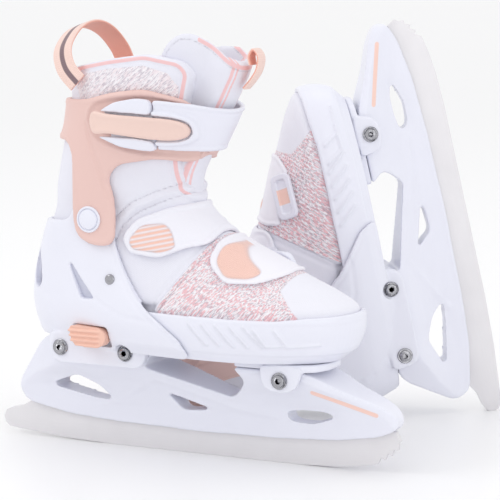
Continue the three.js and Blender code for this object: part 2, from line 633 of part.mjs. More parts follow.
/** One skate; the left one is the mirror image of the right. */
function skate(side) {
  const group = new THREE.Group();
  for (const { name, geometry, material } of PIECES) {
    const mesh = new THREE.Mesh(geometry, material);
    mesh.name = `${side}_${name}`;
    group.add(mesh);
  }
  if (side === 'left') group.scale.y = -1;
  return group;
}

/** The left skate tipped back about its mid-blade point until its tail and cuff meet the floor. */
function lyingSkate() {
  const placed = new THREE.Group();
  placed.add(skate('left'));
  placed.rotation.order = 'ZYX';
  placed.rotation.set(0, THREE.MathUtils.degToRad(-LEFT_PITCH), THREE.MathUtils.degToRad(LEFT_YAW));
  placed.updateMatrixWorld(true);
  const lowest = new THREE.Box3().setFromObject(placed, true).min.z;
  placed.position.set(LEFT_PLACE[0], LEFT_PLACE[1], -lowest);
  return placed;
}

const pair = new THREE.Group();
pair.add(skate('right'), lyingSkate());
pair.updateMatrixWorld(true);
const bounds = new THREE.Box3().setFromObject(pair, true);
pair.position.set(-(bounds.min.x + bounds.max.x) / 2, -(bounds.min.y + bounds.max.y) / 2, -bounds.min.z);

export default pair;
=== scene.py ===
"""Looks for a pair of size-adjustable ice skates.

Every piece is shaped once in skate coordinates: millimetres, x from heel to toe with 0 at the middle of
the blade, y from the lateral to the medial side, z up from the ice. Each piece is then placed twice, on
the standing right skate and, mirrored, on the lying left one. The places come from the frame's joints.
"""

import json
import logging
import math
from dataclasses import dataclass, field
from enum import Enum
from typing import Callable, Optional, Sequence

import bmesh
import bpy
import numpy as np
from mathutils import Matrix, Vector


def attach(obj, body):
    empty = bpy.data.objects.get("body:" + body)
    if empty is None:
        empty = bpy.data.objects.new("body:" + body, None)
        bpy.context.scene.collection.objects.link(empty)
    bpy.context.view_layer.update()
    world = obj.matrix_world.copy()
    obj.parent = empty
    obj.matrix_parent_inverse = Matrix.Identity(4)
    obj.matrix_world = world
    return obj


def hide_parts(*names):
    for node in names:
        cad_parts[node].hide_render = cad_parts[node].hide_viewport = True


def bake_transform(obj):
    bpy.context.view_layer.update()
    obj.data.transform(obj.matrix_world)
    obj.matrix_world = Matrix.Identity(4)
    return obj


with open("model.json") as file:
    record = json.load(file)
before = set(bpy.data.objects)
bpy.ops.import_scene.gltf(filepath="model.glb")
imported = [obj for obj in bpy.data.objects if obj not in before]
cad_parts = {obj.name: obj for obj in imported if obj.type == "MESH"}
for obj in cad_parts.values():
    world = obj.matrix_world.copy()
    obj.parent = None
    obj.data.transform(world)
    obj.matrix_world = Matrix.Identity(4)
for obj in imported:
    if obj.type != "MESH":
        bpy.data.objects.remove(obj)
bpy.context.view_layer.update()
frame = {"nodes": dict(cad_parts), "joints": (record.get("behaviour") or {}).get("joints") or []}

log = logging.getLogger("skates")

Point = tuple[float, float]
Colour = tuple[float, float, float]
MM = 0.001
FINE = 0.9  # voxel of the moulded pieces, mm
SOFT = 1.3  # voxel of the padded pieces, mm


class Side(Enum):
    """Which skate of the pair."""

    RIGHT = "right"
    LEFT = "left"


# ---- shader building ---------------------------------------------------------------------------


def srgb(red: int, green: int, blue: int) -> Colour:
    """A display colour, 0 to 255, as scene-linear numbers."""
    return tuple(((c / 255 + 0.055) / 1.055) ** 2.4 if c > 10 else c / 3295 for c in (red, green, blue))


class Value:
    """A shader socket that holds one number and takes part in Python expressions."""

    def __init__(self, tree: bpy.types.NodeTree, socket: bpy.types.NodeSocket) -> None:
        """Wrap one output socket of the tree."""
        self.tree = tree
        self.socket = socket

    def _math(self, operation: str, first: object, second: object = None) -> "Value":
        """Add one Math node.

        Args:
            operation: the Math node's operation.
            first: a Value or a number.
            second: a Value or a number, if the operation takes one.

        Returns:
            The node's result.
        """
        node = self.tree.nodes.new("ShaderNodeMath")
        node.operation = operation
        for slot, item in enumerate((first, second)):
            if isinstance(item, Value):
                self.tree.links.new(item.socket, node.inputs[slot])
            elif item is not None:
                node.inputs[slot].default_value = item
        return Value(self.tree, node.outputs[0])

    def __add__(self, other: object) -> "Value":
        """Sum."""
        return self._math("ADD", self, other)

    def __radd__(self, other: object) -> "Value":
        """Sum with a number on the left."""
        return self._math("ADD", other, self)

    def __sub__(self, other: object) -> "Value":
        """Difference."""
        return self._math("SUBTRACT", self, other)

    def __rsub__(self, other: object) -> "Value":
        """Difference from a number on the left."""
        return self._math("SUBTRACT", other, self)

    def __mul__(self, other: object) -> "Value":
        """Product."""
        return self._math("MULTIPLY", self, other)

    def __rmul__(self, other: object) -> "Value":
        """Product with a number on the left."""
        return self._math("MULTIPLY", other, self)

    def sine(self) -> "Value":
        """Sine of an angle in radians."""
        return self._math("SINE", self)

    def size(self) -> "Value":
        """Absolute value."""
        return self._math("ABSOLUTE", self)

    def least(self, other: object) -> "Value":
        """The smaller of two values."""
        return self._math("MINIMUM", self, other)

    def most(self, other: object) -> "Value":
        """The larger of two values."""
        return self._math("MAXIMUM", self, other)

    def limited(self) -> "Value":
        """The value held between 0 and 1."""
        return self.least(1.0).most(0.0)

    def step(self, edge: float, width: float) -> "Value":
        """A ramp from 0 to 1 of the given width, centred where the value passes edge."""
        return ((self - edge) * (1 / width) + 0.5).limited()


class Shader:
    """Builds the nodes of one material."""

    def __init__(self, name: str, carried: bool = False) -> None:
        """Start an empty material; a carried one is for a frame's node, without skate coordinates."""
        self.carried = carried
        self.material = bpy.data.materials.new(name)
        self.material.use_nodes = True
        self.tree = self.material.node_tree
        self.tree.nodes.clear()
        self.surface = self.node("ShaderNodeBsdfPrincipled")
        output = self.node("ShaderNodeOutputMaterial")
        self.tree.links.new(self.surface.outputs["BSDF"], output.inputs["Surface"])

    def node(self, kind: str, settings: Optional[dict] = None,
             inputs: Optional[dict] = None) -> bpy.types.Node:
        """Add any node.

        Args:
            kind: the node's type.
            settings: its own properties, set first.
            inputs: values, sockets or Values for its inputs, by name or number.

        Returns:
            The new node.
        """
        node = self.tree.nodes.new(kind)
        for key, value in (settings or {}).items():
            setattr(node, key, value)
        for key, value in (inputs or {}).items():
            if isinstance(value, Value):
                value = value.socket
            if isinstance(value, bpy.types.NodeSocket):
                self.tree.links.new(value, node.inputs[key])
            else:
                node.inputs[key].default_value = value
        return node

    def read(self, name: str) -> Value:
        """A number stored on the piece's points."""
        return Value(self.tree, self.node("ShaderNodeAttribute", {"attribute_name": name}).outputs["Fac"])

    def place(self) -> bpy.types.NodeSocket:
        """The point in millimetres: skate coordinates, or the frame's on a carried node."""
        if self.carried:
            place = self.node("ShaderNodeTexCoord").outputs["Object"]
            scaled = self.node("ShaderNodeVectorMath", {"operation": "SCALE"}, {0: place, "Scale": 1 / MM})
            return scaled.outputs[0]
        return self.node("ShaderNodeAttribute", {"attribute_name": "skate"}).outputs["Vector"]

    def axes(self) -> tuple[Value, Value, Value]:
        """The three skate coordinates, in millimetres."""
        split = self.node("ShaderNodeSeparateXYZ", inputs={0: self.place()})
        return tuple(Value(self.tree, split.outputs[i]) for i in range(3))

    def noise(self, scale: float, detail: float = 2.0, stretch: Colour = (1, 1, 1)) -> Value:
        """Noise in skate coordinates.

        Args:
            scale: features per millimetre.
            detail: octaves.
            stretch: scale along each axis.

        Returns:
            A value from 0 to 1.
        """
        moved = self.node("ShaderNodeMapping", inputs={"Vector": self.place(), "Scale": stretch})
        noise = self.node("ShaderNodeTexNoise", inputs={
            "Vector": moved.outputs[0], "Scale": scale, "Detail": detail,
        })
        return Value(self.tree, noise.outputs[0])

    def dashes(self, along: Value, side: Value, across: Value, detail: float = 2.0) -> Value:
        """Noise over three measures, each already scaled to its own feature size."""
        joined = self.node("ShaderNodeCombineXYZ", inputs={0: along, 1: side, 2: across})
        noise = self.node("ShaderNodeTexNoise", inputs={
            "Vector": joined.outputs[0], "Scale": 1.0, "Detail": detail,
        })
        return Value(self.tree, noise.outputs[0])

    def mix(self, mask: object, low: object, high: object) -> bpy.types.NodeSocket:
        """A colour between low, where mask is 0, and high, where it is 1."""
        mixer = self.node("ShaderNodeMix", {"data_type": "RGBA"})
        for slot, item in ((0, mask), (6, low), (7, high)):
            if isinstance(item, Value):
                item = item.socket
            if isinstance(item, bpy.types.NodeSocket):
                self.tree.links.new(item, mixer.inputs[slot])
            elif slot == 0:
                mixer.inputs[slot].default_value = item
            else:
                mixer.inputs[slot].default_value = (*item, 1)
        return mixer.outputs[2]

    def finish(self, colour: object, roughness: object, height: Optional[Value] = None, depth: float = 0.2,
               **fixed: float) -> bpy.types.Material:
        """Connect the surface.

        Args:
            colour: a colour or a colour socket.
            roughness: a number or a Value.
            height: relief, 0 to 1, if there is any.
            depth: what a height of 1 stands for, mm.
            fixed: other inputs of the surface shader, with spaces as underscores.

        Returns:
            The finished material.
        """
        if isinstance(colour, bpy.types.NodeSocket):
            self.tree.links.new(colour, self.surface.inputs["Base Color"])
        else:
            self.surface.inputs["Base Color"].default_value = (*colour, 1)
        if isinstance(roughness, Value):
            self.tree.links.new(roughness.socket, self.surface.inputs["Roughness"])
        else:
            self.surface.inputs["Roughness"].default_value = roughness
        if height is not None:
            bump = self.node("ShaderNodeBump",
                             inputs={"Height": height, "Distance": depth * MM, "Strength": 0.9})
            self.tree.links.new(bump.outputs[0], self.surface.inputs["Normal"])
        for key, value in fixed.items():
            self.surface.inputs[key.replace("_", " ")].default_value = value
        return self.material


# ---- finishes ----------------------------------------------------------------------------------


@dataclass(frozen=True)
class Moulded:
    """Injection-moulded plastic; where the piece's accent is above 0 it takes the second colour."""

    name: str
    colour: Colour
    roughness: float
    coat: float = 0.0
    accent: Colour = srgb(246, 208, 196)

    def material(self) -> bpy.types.Material:
        """The finish as a material."""
        shader = Shader(self.name)
        cloud = shader.noise(0.035, 3)
        orange_peel = shader.noise(0.9, 2)
        worn = shader.noise(0.25, 4)
        base = shader.mix(cloud * 0.5, self.colour, tuple(c * 0.93 for c in self.colour))
        base = shader.mix(shader.read("accent").step(0, 0.5), base, self.accent)
        rough = self.roughness + (worn - 0.5) * 0.12 + (cloud - 0.5) * 0.06
        return shader.finish(base, rough, orange_peel * 0.6 + worn * 0.4, 0.05, Coat_Weight=self.coat,
                             Coat_Roughness=0.15, IOR=1.5)


@dataclass(frozen=True)
class Padded:
    """Coated textile over foam, with a knit panel, a coloured trim and stitched seams."""

    name: str
    colour: Colour
    trim: Colour = srgb(240, 198, 200)
    knit_pink: Colour = srgb(240, 188, 194)
    knit_grey: Colour = srgb(176, 166, 178)
    knit_white: Colour = srgb(246, 243, 247)
    rib_turn: float = 0.7
    rib_pitch: float = 3.1
    melange: float = 0.75
    blush: float = 0.45

    def material(self) -> bpy.types.Material:
        """The finish as a material."""
        shader = Shader(self.name)
        x, y, z = shader.axes()
        along = x * math.cos(self.rib_turn) + z * math.sin(self.rib_turn)
        across = z * math.cos(self.rib_turn) - x * math.sin(self.rib_turn)
        rib = (across * (2 * math.pi / self.rib_pitch) + shader.noise(0.12, 1) * 2.2).sine() * 0.5 + 0.5
        loops = (along * (2 * math.pi / 1.5)).sine() * 0.5 + 0.5
        fleck = shader.dashes(along * 0.2, y * 0.9, across * 1.05, 1.5)
        second = shader.dashes(along * 0.3 + 40, y * 1.0, across * 1.5, 1.5)
        patches = shader.noise(0.06, 2)
        pink = (fleck + (patches - 0.5) * 0.3).step(0.53, 0.09) * self.blush
        grey = (second - (patches - 0.5) * 0.3).step(0.56, 0.08) * self.melange
        knit = shader.mix(pink, self.knit_white, self.knit_pink)
        knit = shader.mix(grey, knit, self.knit_grey)
        grain = shader.noise(1.6, 2)
        twill = ((x + z) * (2 * math.pi / 1.1)).sine() * 0.5 + 0.5
        plain = shader.mix(shader.noise(0.05, 3) * 0.5, self.colour, tuple(c * 0.94 for c in self.colour))
        panel = shader.read("panel").step(0, 0.7)
        colour = shader.mix(panel, plain, knit)
        seam = 1 - (shader.read("seam").size() * 1.6).limited()
        stitch = ((along * (2 * math.pi / 2.6)).sine() * 2).limited() * seam
        # painted shade: the knit's rib valleys, where the bump is low, are darkened towards a grey-lilac
        valley_shade = (1 - rib) * panel * 0.22
        colour = shader.mix(valley_shade, colour, srgb(206, 190, 202))
        colour = shader.mix(seam * 0.35, colour, srgb(196, 190, 206))
        colour = shader.mix(shader.read("trim").step(0, 0.5), colour, self.trim)
        relief = panel * (rib * 0.7 + loops * 0.3 + fleck * 0.4) + (1 - panel) * (twill * 0.12 + grain * 0.2)
        return shader.finish(colour, 0.78 + grain * 0.12, relief - seam * 1.2 + stitch * 0.5, 0.5,
                             Sheen_Weight=0.25, Sheen_Roughness=0.4)


@dataclass(frozen=True)
class Ribbed:
    """A soft strap with a ribbed rubber or plain patch where the piece's panel is above 0."""

    name: str
    colour: Colour
    patch: Colour
    rib_turn: float
    rib_pitch: float
    rib_contrast: float

    def material(self) -> bpy.types.Material:
        """The finish as a material."""
        shader = Shader(self.name)
        x, _, z = shader.axes()
        across = z * math.cos(self.rib_turn) - x * math.sin(self.rib_turn)
        rib = (across * (2 * math.pi / self.rib_pitch)).sine() * 0.5 + 0.5
        panel = shader.read("panel").step(0, 0.6)
        border = 1 - (shader.read("panel").size() * 1.1).limited()
        grain = shader.noise(1.3, 3)
        patch = shader.mix(rib * self.rib_contrast, self.patch, self.colour)
        colour = shader.mix(panel, shader.mix(grain * 0.3, self.colour, srgb(226, 224, 234)), patch)
        colour = shader.mix(border * 0.35, colour, srgb(205, 196, 206))
        relief = panel * rib * (0.5 + self.rib_contrast) + grain * 0.2 - border * 0.6
        return shader.finish(colour, 0.62 + grain * 0.12, relief, 0.45, Sheen_Weight=0.1)


@dataclass(frozen=True)
class Webbing:
    """Woven tape with a stripe along its outer face."""

    name: str
    edge: Colour = srgb(247, 218, 208)
    stripe: Colour = srgb(122, 104, 112)
    inner: Colour = srgb(244, 172, 152)

    def material(self) -> bpy.types.Material:
        """The finish as a material."""
        shader = Shader(self.name)
        across, along = shader.read("across"), shader.read("along")
        outer = shader.read("outer").step(0.5, 0.4)
        warp = (across * (2 * math.pi / 1.0)).sine() * 0.5 + 0.5
        weft = (along * (2 * math.pi / 1.3) + (across * (math.pi / 1.0)).sine() * 1.5).sine() * 0.5 + 0.5
        stripe = (1 - across.size().step(1.7, 0.5)) * outer * shader.read("striped")
        colour = shader.mix(outer, self.inner, self.edge)
        colour = shader.mix(stripe, colour, self.stripe)
        colour = shader.mix(weft * 0.18, colour, srgb(200, 150, 145))
        return shader.finish(colour, 0.85, warp * 0.5 + weft * 0.5, 0.25, Sheen_Weight=0.3)


@dataclass(frozen=True)
class Metal:
    """Steel or plated metal; a long grain shows where brushed is above 0."""

    name: str
    colour: Colour
    roughness: float
    brushed: float
    metallic: float = 1.0
    carried: bool = False

    def material(self) -> bpy.types.Material:
        """The finish as a material."""
        shader = Shader(self.name, self.carried)
        grain = shader.noise(2.2, 3, (0.03, 1, 1.6))
        cloud = shader.noise(0.05, 3)
        dulled = tuple(c * 0.8 for c in self.colour)
        colour = shader.mix(grain * 0.5 * self.brushed + cloud * 0.3, self.colour, dulled)
        rough = self.roughness + (grain - 0.5) * 0.2 * self.brushed + (cloud - 0.5) * 0.08
        return shader.finish(colour, rough, grain * self.brushed + cloud * 0.1, 0.03, Metallic=self.metallic)


@dataclass(frozen=True)
class Felt:
    """Needled textile of a carried node, with a fine ribbed weave."""

    name: str
    colour: Colour
    shade: Colour

    def material(self) -> bpy.types.Material:
        """The finish as a material."""
        shader = Shader(self.name, carried=True)
        x, y, z = shader.axes()
        weave = ((x + z) * (2 * math.pi / 1.6)).sine() * 0.25 + (y * (2 * math.pi / 1.6)).sine() * 0.25 + 0.5
        fibre = shader.noise(1.4, 3)
        colour = shader.mix(weave * 0.4 + fibre * 0.4, self.colour, self.shade)
        return shader.finish(colour, 0.85 + (fibre - 0.5) * 0.1, weave * 0.6 + fibre * 0.4, 0.2,
                             Sheen_Weight=0.3)


WHITE_SHELL = Moulded("white_shell", srgb(233, 234, 245), 0.34, 0.25)
PEACH_SHELL = Moulded("peach_shell", srgb(231, 197, 190), 0.45)
PEACH_LEVER = Moulded("peach_lever", srgb(238, 209, 199), 0.4, 0.15)
PEACH_BUTTON = Moulded("peach_button", srgb(243, 196, 178), 0.45)
WHITE_PADDING = Padded("white_padding", srgb(232, 232, 242), knit_pink=srgb(240, 218, 223),
                       knit_grey=srgb(194, 187, 198), melange=0.7)
KNIT = Padded("vamp_knit", srgb(234, 234, 243), rib_turn=0.8, rib_pitch=2.6, melange=0.6, blush=0.9)
MID_STRAP = Ribbed("mid_strap_web", srgb(238, 238, 246), srgb(245, 196, 178), 0.22, 3.0, 0.75)
FRONT_STRAP = Ribbed("front_strap_web", srgb(240, 239, 246), srgb(244, 203, 190), 0.6, 1.2, 0.05)
TAPE = Webbing("peach_webbing")
STEEL = Metal("ground_steel", srgb(232, 230, 233), 0.4, 0.6, 0.25)
SPRING_WIRE = Metal("spring_wire", srgb(196, 196, 200), 0.3, 0.4, 0.9, carried=True)
RIVET_METAL = Metal("rivet_metal", srgb(176, 176, 181), 0.2, 0.1, carried=True)
INSOLE_FELT = Felt("insole_felt", srgb(236, 235, 242), srgb(206, 203, 214))
WEB_SHELL = Moulded("shaded_shell", srgb(204, 206, 221), 0.5)
CHROME = Metal("bright_metal", srgb(168, 168, 173), 0.18, 0.0)


class Palette:
    """The finishes in use, each built once."""

    def __init__(self) -> None:
        """Start with no materials."""
        self.made: dict[str, bpy.types.Material] = {}

    def of(self, finish: object) -> bpy.types.Material:
        """The material of a finish, built on its first use."""
        if finish.name not in self.made:
            self.made[finish.name] = finish.material()
        return self.made[finish.name]


# ---- outlines and the boot form ----------------------------------------------------------------


def softened(outline: Sequence[Point], radius: float, steps: int = 5) -> list[Point]:
    """Round every corner of a closed outline.

    Args:
        outline: corners in order.
        radius: how far from a corner the rounding begins, at most half an edge.
        steps: points on each rounding.

    Returns:
        The rounded outline.
    """
    rounded = []
    for i, corner in enumerate(outline):
        here = Vector(corner)
        before, after = Vector(outline[i - 1]), Vector(outline[(i + 1) % len(outline)])
        reach_in = min(radius, (before - here).length * 0.48)
        reach_out = min(radius, (after - here).length * 0.48)
        start = here + (before - here).normalized() * reach_in
        end = here + (after - here).normalized() * reach_out
        for k in range(steps + 1):
            t = k / steps
            rounded.append(tuple(start * (1 - t) ** 2 + here * 2 * t * (1 - t) + end * t * t))
    return rounded


def smoothstep(value: float, low: float, high: float) -> float:
    """0 below low, 1 above high, smooth between."""
    t = min(max((value - low) / (high - low), 0.0), 1.0)
    return t * t * (3 - 2 * t)


def inside_distance(points: np.ndarray, outline: Sequence[Point]) -> np.ndarray:
    """How far each [x, z] point lies inside an outline, in mm; outside is negative."""
    best = np.full(len(points), 1e9)
    inside = np.zeros(len(points), bool)
    for i, (x1, z1) in enumerate(outline):
        x0, z0 = outline[i - 1]
        dx, dz = x1 - x0, z1 - z0
        travel = (points[:, 0] - x0) * dx + (points[:, 1] - z0) * dz
        t = np.clip(travel / max(dx * dx + dz * dz, 1e-9), 0, 1)
        best = np.minimum(best, np.hypot(points[:, 0] - x0 - t * dx, points[:, 1] - z0 - t * dz))
        crosses = (z0 > points[:, 1]) != (z1 > points[:, 1])
        if dz:
            inside ^= crosses & (points[:, 0] < x0 + (points[:, 1] - z0) * dx / dz)
    return np.where(inside, best, -best)


def line_distance(points: np.ndarray, line: Sequence[Point]) -> np.ndarray:
    """How far each [x, z] point lies from an open line, in mm."""
    best = np.full(len(points), 1e9)
    for (x0, z0), (x1, z1) in zip(line, line[1:]):
        dx, dz = x1 - x0, z1 - z0
        travel = (points[:, 0] - x0) * dx + (points[:, 1] - z0) * dz
        t = np.clip(travel / max(dx * dx + dz * dz, 1e-9), 0, 1)
        best = np.minimum(best, np.hypot(points[:, 0] - x0 - t * dx, points[:, 1] - z0 - t * dz))
    return best


@dataclass
class Form:
    """The boot form: the foot and shaft as level sections.

    Attributes:
        rows: height, heel end, toe end, half-width at the heel, half-width at the ball, in mm.
        toe_swing: how far the toe leans to the medial side, mm.
    """

    rows: tuple[tuple[float, ...], ...] = (
        (66, -97, 95, 21, 35), (75, -102, 105, 27.5, 40.5), (90, -106, 109, 32.5, 43.5),
        (99, -107, 107.5, 33, 42.5), (107, -107, 97, 33, 38.5), (116, -106.5, 79, 32.5, 34),
        (125, -105, 61, 32, 31), (134, -102.5, 41, 31.5, 29.5), (144, -99, 22, 31.5, 28),
        (160, -93, 6, 32, 27), (180, -89, 3, 33.5, 28), (198, -85, 10, 35, 31),
        (210, -81, 16, 36, 33), (228, -79, 25, 37, 34.5), (250, -79, 36, 38, 35.5),
        (272, -80, 45, 38, 35.5),
    )
    toe_swing: float = 6.0

    def row(self, z: float) -> tuple[float, float, float, float]:
        """Heel end, toe end and the two half-widths at a height, run smoothly between the rows."""
        last = len(self.rows) - 1
        k = next((i for i, row in enumerate(self.rows) if row[0] > z), last)
        k = min(max(k, 1), last)
        picked = [self.rows[min(max(i, 0), last)] for i in (k - 2, k - 1, k, k + 1)]
        t = min(max((z - picked[1][0]) / (picked[2][0] - picked[1][0]), 0.0), 1.0)

        def slope(before: float, after: float) -> float:
            """A slope that never overshoots its two neighbours."""
            return 0.0 if before * after <= 0 else 2 * before * after / (before + after)

        values = []
        for p0, p1, p2, p3 in list(zip(*picked))[1:]:
            m1, m2 = slope(p1 - p0, p2 - p1), slope(p2 - p1, p3 - p2)
            h = t * t * (3 - 2 * t)
            values.append(p1 + h * (p2 - p1) + t * (1 - t) * ((1 - t) * m1 - t * m2))
        return tuple(values)

    def point(self, angle: float, z: float, grow: float) -> Vector:
        """The point of the section at height z in a direction; 0 is the toe, pi the heel."""
        back, front, rear_half, front_half = self.row(z)
        shaft = smoothstep(z, 138, 180)
        along = math.copysign(abs(math.cos(angle)) ** (0.85 + 0.15 * shaft), math.cos(angle))
        half = rear_half + (front_half - rear_half) * smoothstep(along, -0.8, 0.6) + grow
        x = (back + front) / 2 + ((front - back) / 2 + grow) * along
        swing = self.toe_swing * max(0.0, (x - 20) / 90) ** 2
        across = math.copysign(abs(math.sin(angle)) ** (0.8 + 0.2 * shaft), math.sin(angle))
        return Vector((x, half * across + swing, z))

    def side(self, x: float, z: float, grow: float = 0.0) -> float:
        """How far the form's medial side stands from the middle plane."""
        low, high = 0.0, math.pi
        for _ in range(24):
            middle = (low + high) / 2
            if self.point(middle, z, grow).x > x:
                low = middle
            else:
                high = middle
        return self.point((low + high) / 2, z, grow).y


FORM = Form()


# ---- stock: solids being shaped ----------------------------------------------------------------


class Stock:
    """A closed mesh in skate coordinates, cut and joined until it is a piece."""

    def __init__(self, bm: bmesh.types.BMesh) -> None:
        """Take over a bmesh."""
        bmesh.ops.remove_doubles(bm, verts=bm.verts, dist=1e-4)
        bmesh.ops.recalc_face_normals(bm, faces=bm.faces)
        mesh = bpy.data.meshes.new("stock")
        bm.to_mesh(mesh)
        bm.free()
        self.body = bpy.data.objects.new("stock", mesh)
        bpy.context.scene.collection.objects.link(self.body)

    def _settle(self) -> None:
        """Apply every modifier on the body."""
        graph = bpy.context.evaluated_depsgraph_get()
        mesh = bpy.data.meshes.new_from_object(self.body.evaluated_get(graph))
        self.body.modifiers.clear()
        self.body.data = mesh

    def _boolean(self, operation: str, tools: Sequence["Stock"]) -> "Stock":
        """Combine with other solids, which are used up."""
        for tool in tools:
            modifier = self.body.modifiers.new("cut", "BOOLEAN")
            modifier.operation = operation
            modifier.solver = "EXACT"
            modifier.object = tool.body
        self._settle()
        for tool in tools:
            bpy.data.objects.remove(tool.body)
        return self

    def cut(self, *tools: "Stock") -> "Stock":
        """Take other solids away."""
        return self._boolean("DIFFERENCE", tools)

    def join(self, *tools: "Stock") -> "Stock":
        """Add other solids."""
        return self._boolean("UNION", tools)

    def keep(self, *tools: "Stock") -> "Stock":
        """Keep only what lies inside other solids."""
        return self._boolean("INTERSECT", tools)

    def evened(self, voxel: float, smoothing: int) -> "Stock":
        """Rebuild as an even fine mesh with softly rounded edges.

        Args:
            voxel: size of the new faces, mm.
            smoothing: passes of smoothing.

        Returns:
            The stock itself.
        """
        remesh = self.body.modifiers.new("even", "REMESH")
        remesh.mode = "VOXEL"
        remesh.voxel_size = voxel * 1.0
        remesh.use_smooth_shade = True
        smooth = self.body.modifiers.new("smooth", "SMOOTH")
        smooth.factor = 0.5
        smooth.iterations = smoothing
        self._settle()
        return self

    def pushed(self, relief: Callable[[np.ndarray], np.ndarray]) -> "Stock":
        """Move every point along its normal.

        Args:
            relief: from points [n, 3] to the distance each moves out, mm.

        Returns:
            The stock itself.
        """
        mesh = self.body.data
        places = coordinates(mesh)
        normals = np.zeros(len(mesh.vertices) * 3, np.float32)
        mesh.vertex_normals.foreach_get("vector", normals)
        moved = places + normals.reshape(-1, 3) * relief(places)[:, None]
        mesh.vertices.foreach_set("co", moved.astype(np.float32).ravel())
        mesh.update()
        return self

    def bevelled(self, width: float) -> "Stock":
        """Round the sharp edges."""
        bevel = self.body.modifiers.new("bevel", "BEVEL")
        bevel.width = width
        bevel.segments = 3
        bevel.limit_method = "ANGLE"
        bevel.angle_limit = math.radians(35)
        self._settle()
        self.body.data.shade_smooth()
        return self

    def mesh(self) -> bpy.types.Mesh:
        """The finished mesh; the stock is used up."""
        mesh = self.body.data
        bpy.data.objects.remove(self.body)
        return mesh


def coordinates(mesh: bpy.types.Mesh) -> np.ndarray:
    """The mesh's points as an array [n, 3]."""
    places = np.zeros(len(mesh.vertices) * 3, np.float32)
    mesh.vertices.foreach_get("co", places)
    return places.reshape(-1, 3)


def mark(mesh: bpy.types.Mesh, name: str, values: np.ndarray) -> None:
    """Store one number for each point."""
    layer = mesh.attributes.get(name) or mesh.attributes.new(name, "FLOAT", "POINT")
    layer.data.foreach_set("value", values.astype(np.float32))


def loft(grow: Callable[[float, float], float], low: float, high: float,
         around: int = 96, rise: float = 3.0) -> Stock:
    """The boot form as a solid between two heights, grown outwards.

    Args:
        grow: growth for an angle from the toe, 0 to pi either way, and a height, mm.
        low: height of its floor.
        high: height of its top.
        around: points on a section.
        rise: distance between sections.

    Returns:
        The solid.
    """
    levels = max(2, round((high - low) / rise))
    bm = bmesh.new()
    bmesh.ops.create_grid(bm, x_segments=around, y_segments=levels, size=0.5)
    for vert in bm.verts:
        z = low + (high - low) * (vert.co.y + 0.5)
        angle = 2 * math.pi * (vert.co.x + 0.5)
        vert.co = FORM.point(angle, z, grow(min(angle, 2 * math.pi - angle), z))
    bmesh.ops.remove_doubles(bm, verts=bm.verts, dist=1e-3)
    bmesh.ops.holes_fill(bm, edges=bm.edges, sides=0)
    return Stock(bm)


def grown(amount: float, low: float, high: float) -> Stock:
    """The boot form between two heights, grown outwards by the same amount everywhere."""
    return loft(lambda _, z: amount, low, high)


def prism(outline: Sequence[Point], start: float, end: float,
          spread: Optional[tuple[int, int]] = None) -> Stock:
    """A flat outline pushed through space.

    Args:
        outline: points on the two axes named by spread, x and z unless given.
        start: where the solid starts on the third axis.
        end: where it ends.
        spread: numbers of the outline's two axes.

    Returns:
        The solid.
    """
    first, second = spread or (0, 2)
    third = 3 - first - second
    bm = bmesh.new()
    verts = []
    for a, b in outline:
        place = [0.0, 0.0, 0.0]
        place[first], place[second], place[third] = a, b, start
        verts.append(bm.verts.new(place))
    face = bm.faces.new(verts)
    pushed = bmesh.ops.extrude_face_region(bm, geom=[face])
    move = [0.0, 0.0, 0.0]
    move[third] = end - start
    bmesh.ops.translate(bm, vec=move, verts=[v for v in pushed["geom"] if isinstance(v, bmesh.types.BMVert)])
    return Stock(bm)


def brick(low: Sequence[float], high: Sequence[float]) -> Stock:
    """A box between two corners."""
    bm = bmesh.new()
    bmesh.ops.create_cube(bm, size=1)
    for vert in bm.verts:
        vert.co = Vector([(a + b) / 2 + c * (b - a) for a, b, c in zip(low, high, vert.co)])
    return Stock(bm)


def turned(profile: Sequence[Point], centre: Point, side: float, steps: int = 40) -> Stock:
    """A turned piece whose axis lies across the skate.

    Args:
        profile: radius and distance from the middle plane, starting and ending on the axis.
        centre: x and z of the axis.
        side: -1 for the lateral side, 1 for the medial.
        steps: points round the piece.

    Returns:
        The solid.
    """
    bm = bmesh.new()
    verts = [bm.verts.new((centre[0] + r, side * y, centre[1])) for r, y in profile]
    edges = [bm.edges.new(pair) for pair in zip(verts, verts[1:])]
    bmesh.ops.spin(bm, geom=verts + edges, cent=(centre[0], 0, centre[1]), axis=(0, 1, 0), angle=2 * math.pi,
                   steps=steps, use_merge=True)
    return Stock(bm)


def band(inner: float, outer: float, outline: Sequence[Point],
         across: Point, low: float, high: float) -> Stock:
    """A layer over the boot form between two growths, cut to a side outline and a stretch across."""
    return grown(outer, low, high).cut(grown(inner, low - 4, high + 4)).keep(prism(outline, *across))


# ---- placing pieces on the two skates ----------------------------------------------------------


class Stand:
    """Where one skate stands: maps skate coordinates to the frame's metres."""

    def __init__(self, side: Side) -> None:
        """Read the place from the skate's own joints."""
        self.side = side
        joints = {joint["name"]: joint for joint in frame["joints"]}
        forward = Vector(joints[f"{side.value}_toe_slide"]["axis"])
        hinge = joints[f"{side.value}_cuff_hinge"]
        across = Vector(hinge["axis"])
        up = forward.cross(across)
        if side is Side.LEFT:
            across = -across
        turn = Matrix((forward, across, up)).transposed().to_4x4()
        offset = Vector(hinge["pos_m"]) - turn @ (Vector(CUFF_PIVOT_3D) * MM)
        self.matrix = Matrix.Translation(offset) @ turn @ Matrix.Scale(MM, 4)

    def at(self, x: float, y: float, z: float) -> Vector:
        """A skate point in the frame."""
        return self.matrix @ Vector((x, y, z))

    def body(self, name: str) -> str:
        """The full name of one of this skate's bodies or nodes."""
        return f"{self.side.value}_{name}"


